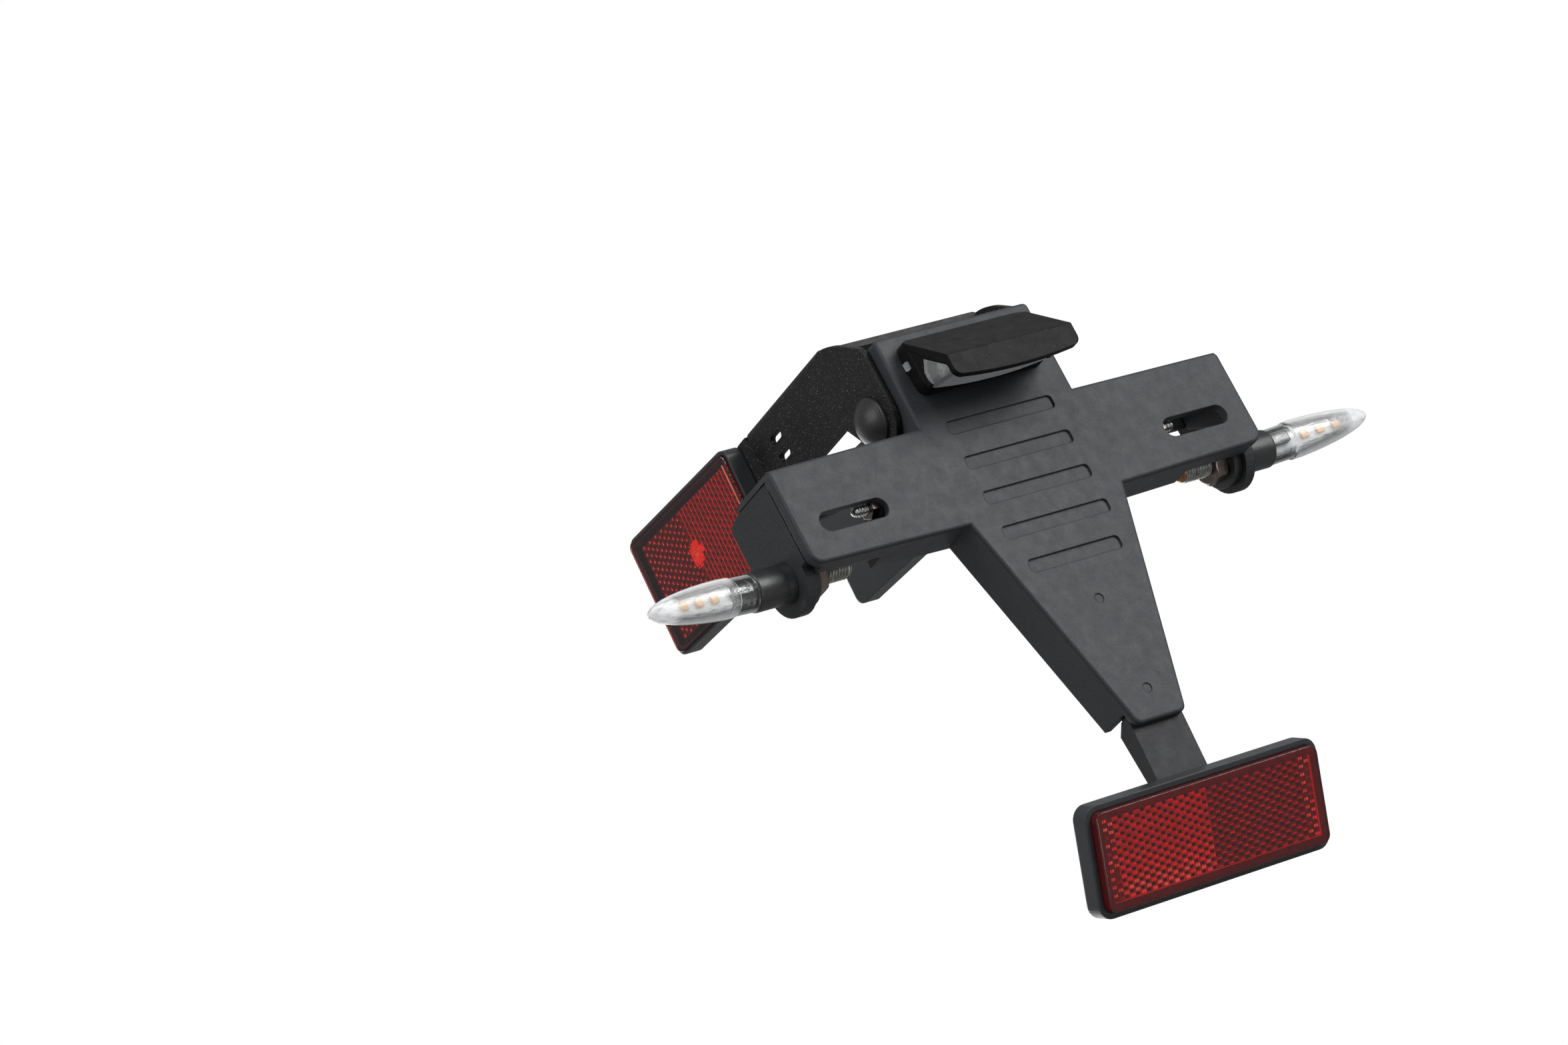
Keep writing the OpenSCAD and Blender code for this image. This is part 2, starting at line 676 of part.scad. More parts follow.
// The lens is a pointed bullet on a short neck, turned about an axis that leans back to its tip
lens_r = 6.9;
neck_r = 6.2;
neck_len = 8.6;
lens_wall = 1.3;
lens_lean = asin(tip_sweep / lens_len);
function bullet(t) = lens_r * sqrt(1 - pow(t, 2.4));
function bullet_side(length, inset) = concat(
  [[neck_r - inset, -3], [neck_r - inset, neck_len + inset], [lens_r - 0.25 - inset, neck_len + 0.7 + inset]],
  [for (t = [0.3, 0.42, 0.54, 0.65, 0.75, 0.83, 0.9, 0.95, 0.985]) [bullet(t) - inset, length * t]]);
module bullet_wall() {
  rotate([0, 90, 0]) rotate_extrude() difference() {
    polygon(concat([[0, -3]], bullet_side(lens_len, 0), [[0, lens_len]]));
    polygon(concat([[0, -3.5], [neck_r - lens_wall, -3.5]],
      [for (q = bullet_side(lens_len - 3.5, lens_wall)) if (q[0] > 0.5) q], [[0, lens_len - 4.5]]));
  }
}
module at_lens() {
  at_stalk() translate([stalk_out, 0, 0]) rotate([0, 0, -lens_lean]) children();
}
// The parting surface between clear lens and black shell lies at a set depth
part_y = 1.2;
module bullet_half(y0, y1) {
  intersection() {
    at_lens() intersection() {
      bullet_wall();
      translate([-4, y0, -20]) cube([lens_len + 6, y1 - y0, 40]);
    }
    at_stalk() translate([stalk_out, -40, -40]) cube([lens_len + 5, 80, 80]);
  }
}
module indicator_lens(hand) {
  color(clear_grey) side(hand) bullet_half(-20, part_y);
}
module indicator_shell(hand) {
  color(steel_black) side(hand) bullet_half(part_y, 20);
}
// The board narrows with the lens and fills its hollow but for a small margin
board_y = -1;
board_t = 1;
led_size = 2.8;
led_h = 1.2;
block_h = 2.4;
cavity_end = lens_len - 3.5;
function board_half(x) = sqrt(pow(lens_r * sqrt(1 - pow(x / cavity_end, 2.4)) - lens_wall, 2) - 1) - 0.35;
board_side = concat([[2.2, neck_r - lens_wall - 1], [neck_len, neck_r - lens_wall - 1]],
  [for (k = [0.26, 0.4, 0.52, 0.64, 0.74, 0.82, 0.88]) [cavity_end * k, board_half(cavity_end * k)]]);
module led_board(hand) {
  color("white") side(hand) at_lens() on_face(board_y, board_y + board_t)
    polygon(concat(board_side, [for (i = [len(board_side) - 1:-1:0]) [board_side[i][0], -board_side[i][1]]]));
}
module leds(hand) {
  color(amber) side(hand) at_lens()
    for (k = [0:2])
      translate([cavity_end * 0.37 + 6.6 * k, board_y - led_h, -led_size / 2]) cube([led_size, led_h, led_size]);
}
module resistor_block(hand) {
  color(steel_black) side(hand) at_lens()
    translate([1.6, board_y - block_h, -1]) cube([neck_len - 1.2, block_h, neck_r - lens_wall - 1.3]);
}

// Licence lamp: a black wedge with a visor, clear lens, mirror and board

lamp_mid = lamp_rise + lamp_h / 2;
board_back = 1.25;
board_th = 0.8;
board_margin = 3.3;
lamp_top = lamp_rise + lamp_h;
base_t = 5.6;
visor_t = 2.4;
panel_top = lamp_rise + 3.2;
panel_low = panel_top - panel_h;
// Clear catch that shows at the left end of the lamp's base
catch_out = 0.9;
catch_h = 2.6;
// The visor's roof falls in a straight line from the base to the front panel
roof_y = -4.8;
roof_z = lamp_top - 1.2;
function roof(y) = roof_z - (roof_y - y) * (roof_z - panel_top) / (lamp_depth + roof_y);
module lamp_profile() {
  polygon([
    [roof_y, roof_z], [-base_t, lamp_rise + 4], [-base_t, roof(-base_t) - 2.8],
    [-lamp_depth + visor_t, panel_top - 2.6], [-lamp_depth + visor_t, panel_low], [-lamp_depth, panel_low],
    [-lamp_depth, panel_top]]);
}
module base_profile() {
  polygon([[0, lamp_top], [-3.2, lamp_top], [roof_y, roof_z], [-base_t, roof(-base_t)], [-base_t, lamp_rise],
    [0, lamp_rise]]);
}
// Front view of the visor: the panel's lower corners are round and its lower edge sags a little
sag = 1.4;
module sagged(half, low, corner_r) {
  flat_half = half - corner_r;
  sag_r = (flat_half * flat_half + sag * sag) / (2 * sag);
  sag_angle = asin(flat_half / sag_r);
  polygon(concat(
    arc(flat_half, low + sag + corner_r, corner_r, -84, 0), [[half, lamp_top], [-half, lamp_top]],
    arc(-flat_half, low + sag + corner_r, corner_r, 180, 264),
    arc(0, low + sag_r, sag_r, 270 - sag_angle, 270 + sag_angle, 8)));
}
// End wall of the lamp, in Y and Z: a strip beside the base and the part above the window
end_t = 1.4;
end_out = lamp_w / 2 - 0.3;
end_in = end_out - end_t;
module lamp_end(grow = 0) {
  polygon([
    [-base_t + 0.5, roof_z - 1.4], [-base_t + 0.5, lamp_rise - grow], [-base_t - 1.6 - grow, lamp_rise + 0.2 - grow],
    [-base_t - 1.8 - grow, lamp_rise + 5.2], [-base_t - 4.7, lamp_rise + 8.8 - 1.4 * grow],
    [-lamp_depth + 3, panel_top - 2.2 - grow], [-lamp_depth + 2.2, panel_top - 5.4 - grow],
    [-lamp_depth + 1, panel_top - 5.6 - grow], [-lamp_depth + 1, panel_top - 0.6]]);
}
module lamp_housing() {
  color(steel_black) carrier() difference() {
    union() {
      intersection() {
        on_side(-lamp_w / 2, lamp_w / 2) base_profile();
        translate([0, 0, lamp_mid]) on_face(-base_t, 0) polygon(rounded(lamp_w, lamp_h, 3.6));
      }
      intersection() {
        on_side(-lamp_w / 2, lamp_w / 2) lamp_profile();
        on_face(-lamp_depth - 1, 1) sagged(lamp_w / 2, panel_low, 3.2);
      }
      both() on_side(end_in, end_out) lamp_end();
    }
    translate([0, 0, cavity_mid]) on_face(-base_t - 1, -1.2) polygon(rounded(cavity_w, cavity_h, 2.6));
    both() translate([lamp_hole_x, 0, lamp_mid]) bar_y(-2, 1, screw_d / 2 - 0.3);
    translate([0, 0, lamp_mid]) bar_y(-2, 1, 4);
    translate([-end_in - 0.1, -base_t - 1.1, lamp_mid - 0.1]) cube([4, base_t + 0.5, catch_h + 0.2]);
    translate([-lamp_w / 2 - 1, -catch_t - 0.6, lamp_mid - 0.1]) cube([4, catch_t + 0.2, catch_h + 0.2]);
  }
}
cavity_w = lamp_w - 8;
cavity_h = lamp_h - 6.4;
cavity_mid = lamp_mid - 0.6;
catch_t = 2.4;
// The lens fills the window flush with the end walls, and its sagging lower edge slopes to the front
lens_slope = 9.3;
module lamp_lens_profile() {
  polygon([
    [-base_t, lamp_rise - 3], [-lamp_depth + visor_t + 0.3, panel_low - 2],
    [-lamp_depth + visor_t + 0.3, panel_top - 3.4], [-base_t, roof(-base_t) - 3.6]]);
}
module lamp_hollow() {
  polygon([
    [2, lamp_rise + 2.6], [-base_t - 2, lamp_rise + 1.2], [-lamp_depth + visor_t + 2, panel_low + 5.2],
    [-lamp_depth + visor_t + 2, lamp_top + 5], [2, lamp_top + 5]]);
}
module lamp_lens() {
  color(clear_grey) carrier() difference() {
    union() {
      difference() {
        intersection() {
          on_side(-end_out + 0.1, end_out - 0.1) lamp_lens_profile();
          translate([0, -base_t, 0]) rotate([lens_slope, 0, 0]) on_face(-lamp_depth, base_t + 2)
            sagged(end_out - 0.1, lamp_rise - 1.9, 3.6);
        }
        both() on_side(end_in - 0.15, end_out + 1) lamp_end(0.15);
      }
      translate([-end_in + 0.1, -base_t - 1, lamp_mid]) cube([2.2, base_t + 0.3, catch_h]);
      translate([-lamp_w / 2 - catch_out, -catch_t - 0.5, lamp_mid]) cube([catch_out + 2.4, catch_t - 0.2, catch_h]);
    }
    on_side(-end_in + 2.2, end_in - 2.2) lamp_hollow();
  }
}
// Bright mirror under the visor, bent up where it lies on the board
mirror_z = lamp_rise + 6;
mirror_t = 0.8;
mirror_reach = lamp_depth / 2 - 0.5;
module lamp_mirror() {
  color(zinc) carrier() on_side(-cavity_w / 2 + 0.6, cavity_w / 2 - 0.6)
    polygon([
      [-board_back - board_th, mirror_z + 3], [-board_back - board_th - mirror_t, mirror_z + 3],
      [-board_back - board_th - mirror_t, mirror_z + mirror_t], [-mirror_reach, mirror_z + mirror_t + 0.2],
      [-mirror_reach - 0.2, mirror_z + 0.3], [-board_back - board_th, mirror_z]]);
}
module lamp_board() {
  color("white") carrier() translate([0, 0, lamp_mid + 1])
    on_face(-board_back - board_th, -board_back)
      polygon(rounded(cavity_w - 2 * board_margin, cavity_h - 2 * board_margin, 1));
}
module lamp_screws() {
  color(zinc) carrier() both() translate([lamp_hole_x, 0, lamp_mid]) {
    bar_y(-1.1, face_t, screw_d / 2 - 0.35);
    bar_y(face_t, face_t + screw_head_t, screw_d * 0.9);
  }
}

// Rear reflector on its stem

module at_rear() {
  carrier() translate([0, rear_y, -rear_drop]) rotate([rear_lean, 0, 0]) children();
}
rear_w = rear_lens_w + 2 * frame_rim;
rear_h = rear_lens_h + 2 * frame_rim;
frame_front = lens_proud;
frame_back = lens_proud + frame_t;
module rear_frame() {
  color(steel_black) at_rear() difference() {
    on_face(frame_front, frame_back) polygon(rounded(rear_w, rear_h, 5));
    on_face(frame_front - 1, frame_back - 2) polygon(rounded(rear_lens_w + 0.2, rear_lens_h + 0.2, 3.1));
    bar_y(frame_front, frame_back + 1, screw_d / 2 + 0.25);
  }
}
module rear_lens() {
  color(lens_red) at_rear() on_face(0, frame_back - 3.4) polygon(rounded(rear_lens_w, rear_lens_h, 3));
}
// The stem: a narrow tongue inside the tail's walls, a bent shank and a plate behind the frame
tail_end = -arm_h - tail_len;
stem_top = tail_end + 24;
stem_neck = tail_end + 3.4;
stem_front = face_t + 2 + gap;
stem_back = face_t + gap + stem_t + 0.9;
stem_in_w = 2 * (tail_x(tail_end + 4, wall_t) - 0.5);
back_t = 3;
back_h = rear_lens_h - 6;
// A point given in the leaning reflector's own Y and Z
function rear_pt(y, z) = [rear_y + y * cos(rear_lean) - z * sin(rear_lean),
  -rear_drop + y * sin(rear_lean) + z * cos(rear_lean)];
module stem_shank() {
  on_side(-stem_w / 2, stem_w / 2)
    polygon([
      [face_t + gap, stem_neck + 1.4], [face_t + gap + 4, stem_neck + 1], [stem_back, stem_neck - 2.6],
      rear_pt(frame_back + 6.5, rear_h / 2 - 4), rear_pt(frame_back + back_t, rear_h / 8),
      rear_pt(frame_back, rear_h / 8), rear_pt(frame_back, rear_h / 3)]);
}
module reflector_stem() {
  color(moulded_grey) difference() {
    union() {
      carrier() {
        translate([-stem_in_w / 2, stem_front, stem_neck - 1]) cube([stem_in_w, 4, stem_top - stem_neck + 1]);
        stem_shank();
      }
      at_rear() on_face(frame_back, frame_back + back_t) polygon(rounded(stem_w, back_h, 3));
    }
    carrier() translate([0, 0, stem_hole_z]) bar_y(0, 30, screw_d / 2 + 0.25);
    at_rear() bar_y(0, frame_back + 10, screw_d / 2 + 0.25);
    at_rear() bar_y(frame_back + back_t, frame_back + 20, screw_d * 0.9 + 0.4);
  }
}
module stem_screws() {
  color(zinc) carrier() translate([0, 0, stem_hole_z]) {
    bar_y(1, stem_front + 4, screw_d / 2 - 0.35);
    bar_y(stem_front + 4, stem_front + 4 + screw_head_t, screw_d * 0.9);
  }
}
module rear_screw() {
  color(zinc) at_rear() {
    bar_y(frame_back - 3.3, frame_back + back_t, screw_d / 2);
    bar_y(frame_back + back_t, frame_back + back_t + screw_head_t, screw_d * 0.9);
  }
}

tail_bracket();
pivot_bolts();
pivot_washers();
pivot_nuts();
side_case(-1);  // side_case_left
side_case(1);  // side_case_right
side_lens(-1);  // side_lens_left
side_lens(1);  // side_lens_right
side_nuts();
plate_carrier();
indicator_bracket(-1);  // indicator_bracket_left
indicator_bracket(1);  // indicator_bracket_right
bracket_screws();
bracket_nuts();
stalk(-1);  // stalk_left
stalk(1);  // stalk_right
indicator_shell(-1);  // indicator_shell_left
indicator_shell(1);  // indicator_shell_right
indicator_lens(-1);  // indicator_lens_left
indicator_lens(1);  // indicator_lens_right
led_board(-1);  // led_board_left
led_board(1);  // led_board_right
leds(-1);  // leds_left
leds(1);  // leds_right
resistor_block(-1);  // resistor_block_left
resistor_block(1);  // resistor_block_right
stud(-1);  // stud_left
stud(1);  // stud_right
stalk_washer(-1);  // stalk_washer_left
stalk_washer(1);  // stalk_washer_right
stalk_nut(-1);  // stalk_nut_left
stalk_nut(1);  // stalk_nut_right
lamp_housing();
lamp_lens();
lamp_mirror();
lamp_board();
lamp_screws();
reflector_stem();
stem_screws();
rear_frame();
rear_lens();
rear_screw();
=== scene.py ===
"""Looks of the tail tidy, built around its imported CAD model."""
import json
import math
import random

import bmesh
import bpy
from mathutils import Matrix, Vector


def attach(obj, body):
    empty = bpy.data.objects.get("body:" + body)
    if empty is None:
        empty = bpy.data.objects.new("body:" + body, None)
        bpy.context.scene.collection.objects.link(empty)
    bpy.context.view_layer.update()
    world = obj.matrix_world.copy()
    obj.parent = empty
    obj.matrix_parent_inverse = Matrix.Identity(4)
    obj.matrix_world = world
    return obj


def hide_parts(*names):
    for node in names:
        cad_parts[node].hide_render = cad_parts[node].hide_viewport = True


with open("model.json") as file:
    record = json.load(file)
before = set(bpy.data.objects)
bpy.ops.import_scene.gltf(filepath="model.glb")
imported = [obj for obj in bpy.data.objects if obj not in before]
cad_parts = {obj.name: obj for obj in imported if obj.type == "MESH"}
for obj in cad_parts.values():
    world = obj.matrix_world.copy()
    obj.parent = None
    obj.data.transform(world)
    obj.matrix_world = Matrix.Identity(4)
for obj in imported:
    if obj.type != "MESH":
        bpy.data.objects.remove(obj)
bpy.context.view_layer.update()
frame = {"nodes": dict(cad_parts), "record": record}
MM = 0.001
WHITE = (1, 1, 1, 1)
SIDES = ((-1, "left"), (1, "right"))


# Camera: where the photograph was taken from, in the row frame

EYE = Vector((-1165.2, -1491.3, -611.5)) * MM
AZIMUTH, ELEVATION, ROLL = -36.632, -16.971, -27.568
FOCAL_PX, IMAGE_W, SENSOR_W = 8773.06, 2352, 36.0


def camera_axes():
    """Right, up and backward directions of the camera."""
    a, e, roll = (math.radians(x) for x in (AZIMUTH, ELEVATION, ROLL))
    back = Vector((math.sin(a) * math.cos(e), -math.cos(a) * math.cos(e), math.sin(e)))
    right = (-back).cross(Vector((0, 0, 1))).normalized()
    up = right.cross(-back)
    return (math.cos(roll) * right + math.sin(roll) * up,
            math.cos(roll) * up - math.sin(roll) * right, back)


def add_camera():
    right, up, back = camera_axes()
    data = bpy.data.cameras.new("camera")
    data.sensor_width = SENSOR_W
    data.lens = FOCAL_PX / IMAGE_W * SENSOR_W
    data.clip_start, data.clip_end = 0.05, 50
    camera = bpy.data.objects.new("camera", data)
    turn = Matrix((right, up, back)).transposed().to_4x4()
    camera.matrix_world = Matrix.Translation(EYE) @ turn
    bpy.context.scene.collection.objects.link(camera)
    bpy.context.scene.camera = camera


add_camera()


# Materials. Their lengths are metres.

EDGE_SAMPLES = 6


class Nodes:
    """A node tree built with short calls."""

    def __init__(self, name):
        self.material = bpy.data.materials.new(name)
        self.material.use_nodes = True
        self.tree = self.material.node_tree
        self.shader = self.tree.nodes["Principled BSDF"]
        self.place = self.tree.nodes.new("ShaderNodeTexCoord").outputs["Object"]

    def node(self, kind, inputs=(), **settings):
        made = self.tree.nodes.new("ShaderNode" + kind)
        for key, value in settings.items():
            setattr(made, key, value)
        for key, value in dict(inputs).items():
            self.put(made.inputs[key], value)
        return made

    def put(self, socket, value):
        if isinstance(value, bpy.types.NodeSocket):
            self.tree.links.new(value, socket)
        else:
            socket.default_value = value

    def set(self, **inputs):
        for key, value in inputs.items():
            self.put(self.shader.inputs[key.replace("_", " ")], value)

    def math(self, operation, a, b=0.0, c=0.0):
        return self.node("Math", {0: a, 1: b, 2: c}, operation=operation).outputs[0]

    def along_x(self):
        return self.node("SeparateXYZ", {0: self.place}).outputs[0]

    def noise(self, scale, detail=2.0, rough=0.5, place=None):
        made = self.node("TexNoise", {"Vector": place or self.place, "Scale": scale,
                                      "Detail": detail, "Roughness": rough})
        return made.outputs["Fac"]

    def ramp(self, value, low, high, start=0.0, end=1.0):
        """Runs from low to high while value runs from start to end."""
        made = self.node("MapRange", {"Value": value, "From Min": start, "From Max": end,
                                      "To Min": low, "To Max": high})
        return made.outputs["Result"]

    def mix(self, factor, a, b, kind="MIX"):
        """Mixes two colours."""
        made = self.node("Mix", data_type="RGBA", blend_type=kind)
        for place, value in ((0, factor), (6, a), (7, b)):
            self.put(made.inputs[place], value)
        return made.outputs[2]

    def bump(self, height, depth, strength=1.0, normal=None):
        inputs = {"Height": height, "Distance": depth, "Strength": strength}
        if normal:
            inputs["Normal"] = normal
        return self.node("Bump", inputs).outputs["Normal"]

    def soft_edges(self, radius):
        return self.node("Bevel", {"Radius": radius}, samples=EDGE_SAMPLES).outputs["Normal"]

    def surface(self, kind, **inputs):
        return self.node(kind, inputs).outputs[0]

    def blend(self, factor, a, b):
        """Mixes two surfaces."""
        return self.node("MixShader", {0: factor, 1: a, 2: b}).outputs[0]

    def finish(self, surface):
        self.tree.links.new(surface, self.tree.nodes["Material Output"].inputs[0])
        return self.material

    def polished(self, body, rough, normal, ior):
        """Ends a clear plastic with a polished face over its body."""
        self.tree.nodes.remove(self.shader)
        shine = self.surface("BsdfGlossy", Color=WHITE, Roughness=rough, Normal=normal)
        return self.finish(self.blend(self.surface("Fresnel", IOR=ior, Normal=normal), body, shine))


def srgb(r, g, b, a=1.0):
    """A colour as read from a picture, made linear."""
    def line(v):
        v /= 255
        return v / 12.92 if v <= 0.04045 else ((v + 0.055) / 1.055) ** 2.4
    return (line(r), line(g), line(b), a)


def scaled(colour, factor):
    return tuple(min(1.0, factor * c) for c in colour[:3]) + (1,)


def moulded(name, dark, light, rough, grain=2600, depth=0.00005, edge=0.0006, gloss=0.3,
            speck=0.0, dust_and_glints=0.0, shade_reach=0.0):
    """Moulded plastic or powder coat with a fine grain, clouded colour and soft worn edges.

    speck is how much pale flake of the powder coat it carries, partly painted glints; the next
    argument is how many pale specks it carries, partly settled dirt and partly painted glints; the
    last is how far painted shade reaches into corners.
    """
    m = Nodes(name)
    cloud = m.noise(34, 4, 0.6)
    fine = m.noise(grain, 2, 0.6)
    colour = m.mix(m.ramp(cloud, 0, 1, 0.3, 0.7), dark, light)
    colour = m.mix(m.ramp(fine, 0, 0.32, 0.5, 0.7), colour, scaled(light, 2.2))
    colour = m.mix(m.ramp(fine, 0, 0.48, 0.5, 0.3), colour, scaled(dark, 0.4))
    # Pale flakes of the powder coat, partly painted glints.
    if speck:
        spark = m.noise(grain * 1.1, 1, 0.5)
        colour = m.mix(m.ramp(spark, 0, speck, 0.64, 0.78), colour, (0.3, 0.28, 0.26, 1))
    # Pale specks: partly dust, partly painted glints.
    if dust_and_glints:
        flake = m.noise(1900, 1, 0.5)
        colour = m.mix(m.ramp(flake, 0, dust_and_glints, 0.74, 0.8), colour, (0.5, 0.5, 0.48, 1))
    # Painted shade: the colour darkens where ambient occlusion finds corners and hollows.
    if shade_reach:
        open_air = m.node("AmbientOcclusion", {"Distance": shade_reach}, samples=EDGE_SAMPLES)
        painted_shade = m.ramp(open_air.outputs["AO"], 1, 0, 0.2, 0.62)
        colour = m.mix(painted_shade, colour, scaled(dark, 0.22))
    scuff = m.ramp(m.noise(210, 5, 0.65), rough - 0.05, rough + 0.07, 0.3, 0.7)
    m.set(Base_Color=colour, Roughness=scuff, Specular_IOR_Level=gloss,
          Normal=m.bump(fine, depth, 0.5, m.soft_edges(edge)))
    return m.material


def metal(name, colour, rough, metallic=1.0):
    """Plated steel with fine turning marks and a little tarnish."""
    m = Nodes(name)
    marks = m.noise(900, 3, 0.7)
    tarnish = m.ramp(m.noise(160, 4, 0.6), 0, 0.8, 0.45, 0.8)
    m.set(Base_Color=m.mix(tarnish, colour, scaled(colour, 0.5)), Metallic=metallic,
          Roughness=m.ramp(marks, rough - 0.08, rough + 0.12, 0.3, 0.7),
          Normal=m.bump(marks, 0.00002, 0.4, m.soft_edges(0.0003)))
    return m.material


COPPER_END = (0.0724, 0.0726)  # X where the copper of the right stud's open end stops


def stud_metal():
    """Dulled zinc, with copper at the right stud's open end."""
    m = Nodes("stud_steel")
    marks = m.noise(500, 3, 0.7)
    zinc = m.mix(m.ramp(marks, 0, 1, 0.35, 0.7), (0.52, 0.53, 0.51, 1), (0.2, 0.2, 0.19, 1))
    copper = m.mix(marks, (0.55, 0.22, 0.12, 1), (0.2, 0.09, 0.06, 1))
    x = m.along_x()
    tip = m.math("MULTIPLY", m.ramp(x, 1, 0, *COPPER_END), m.ramp(x, 0, 1, 0.0, 0.01))
    m.set(Base_Color=m.mix(tip, zinc, copper), Metallic=0.85,
          Roughness=m.ramp(marks, 0.28, 0.45, 0.3, 0.7))
    return m.material


def red_cover(name, haze):
    """Clear red plastic that tints what lies behind it, with a little haze."""
    m = Nodes(name)
    marks = m.noise(260, 4, 0.6)
    body = m.blend(m.ramp(marks, 0.7 * haze, 1.3 * haze, 0.3, 0.7),
                   m.surface("BsdfTransparent", Color=(0.97, 0.5, 0.48, 1)),
                   m.surface("BsdfDiffuse", Color=(0.4, 0.26, 0.26, 1)))
    return m.polished(body, m.ramp(marks, 0.02, 0.08, 0.3, 0.7), m.soft_edges(0.0004), 1.49)


# Painted light: colour of a prism facet by how strongly it is painted as returning the light
GLOW_COLOURS = (
    (0.0, (0.03, 0.006, 0.008, 1)),
    (0.25, (0.24, 0.01, 0.016, 1)),
    (0.5, (0.85, 0.018, 0.024, 1)),
    (0.74, (1.0, 0.09, 0.05, 1)),
    (1.0, (1.0, 0.55, 0.36, 1)),
)


def prisms():
    """Prism facets with painted light. Each face of the mesh carries how strongly it returns the
    light, which sets its colour and a faint emission.
    """
    m = Nodes("red_plastic")
    glow = m.node("Attribute", attribute_name="glow").outputs["Fac"]
    colours = m.node("ValToRGB", {0: m.math("MULTIPLY", glow, 0.8)})
    stops = colours.color_ramp.elements
    stops[0].color, stops[-1].color = GLOW_COLOURS[0][1], GLOW_COLOURS[-1][1]
    for place, colour in GLOW_COLOURS[1:-1]:
        stops.new(place).color = colour
    dim = m.ramp(m.noise(300, 3, 0.6), 0.7, 1.0, 0.3, 0.7)
    shaded = m.mix(1.0, colours.outputs[0], dim, "MULTIPLY")
    # Painted glow: the prism plastic also emits light in its own colour, though it is no lamp.
    m.set(Base_Color=shaded, Roughness=0.3, Specular_IOR_Level=0.15,
          Emission_Color=shaded, Emission_Strength=0.32)
    return m.material


BOARD_END = 0.1425  # X where an indicator's board ends and its milky tip starts
MILK_FADE = 0.002   # length over which the milkiness sets in


def clear_plastic(name, start, milk, rim):
    """Polished clear plastic, whitened by inner facets beyond X = start, with painted sheen where
    seen edge on and a faint painted glow in its white.
    """
    m = Nodes(name)
    stretched = m.node("Mapping", {"Vector": m.place, "Scale": (120, 700, 900)}).outputs[0]
    streaks = m.noise(1.0, 3, 0.6, stretched)
    out = m.math("ABSOLUTE", m.along_x())
    facets = m.math("ADD", m.ramp(out, 0, milk, start, start + MILK_FADE),
                    m.ramp(out, 0, 0.6, BOARD_END, BOARD_END + 0.003))
    inside = m.math("MULTIPLY", facets, m.ramp(streaks, 0.6, 1.25, 0.35, 0.65))
    # Painted sheen: whiter where the surface is seen edge on.
    facing = m.node("LayerWeight", {"Blend": 0.5}).outputs["Facing"]
    rim_start = m.ramp(out, 0.5, 0.26, start, start + MILK_FADE)
    amount = m.math("MAXIMUM", m.math("ADD", inside, 0.03),
                    m.ramp(facing, 0, rim, rim_start, m.math("ADD", rim_start, 0.45)))
    pale = (0.95, 0.96, 0.96, 1)
    white = m.blend(0.4, m.surface("BsdfDiffuse", Color=pale),
                    m.surface("BsdfTranslucent", Color=pale))
    # Painted glow: the white parts also emit a little light.
    painted_glow = m.surface("Emission", Color=(0.95, 0.97, 1, 1), Strength=0.3)
    body = m.blend(amount, m.surface("BsdfTransparent", Color=(0.97, 0.98, 0.98, 1)),
                   m.node("AddShader", {0: white, 1: painted_glow}).outputs[0])
    return m.polished(body, m.ramp(streaks, 0.04, 0.14, 0.3, 0.7),
                      m.bump(streaks, 0.0004, 0.5), 1.36)


def lacquer(name, colour, rough):
    """Glossy paint or resin of a slightly clouded colour."""
    m = Nodes(name)
    cloud = m.noise(300, 3, 0.6)
    m.set(Base_Color=m.mix(m.ramp(cloud, 0, 0.5, 0.4, 0.8), colour, scaled(colour, 0.8)),
          Roughness=rough)
    return m.material


# X between which the left board's dark part in the neck starts and stops
NECK_START, NECK_STOP = (-0.1002, -0.1000), (-0.1199, -0.1196)


def board_white():
    """White lacquer, dark on the part of the left indicator's board that lies in the neck."""
    m = Nodes("board_white")
    cloud = m.ramp(m.noise(500, 4, 0.6), 0, 1, 0.35, 0.7)
    white = m.mix(cloud, (0.82, 0.83, 0.83, 1), (0.62, 0.63, 0.64, 1))
    x = m.along_x()
    neck = m.math("MULTIPLY", m.ramp(x, 1, 0, *NECK_START), m.ramp(x, 0, 1, *NECK_STOP))
    m.set(Base_Color=m.mix(neck, white, (0.02, 0.02, 0.021, 1)), Roughness=0.35)
    return m.material


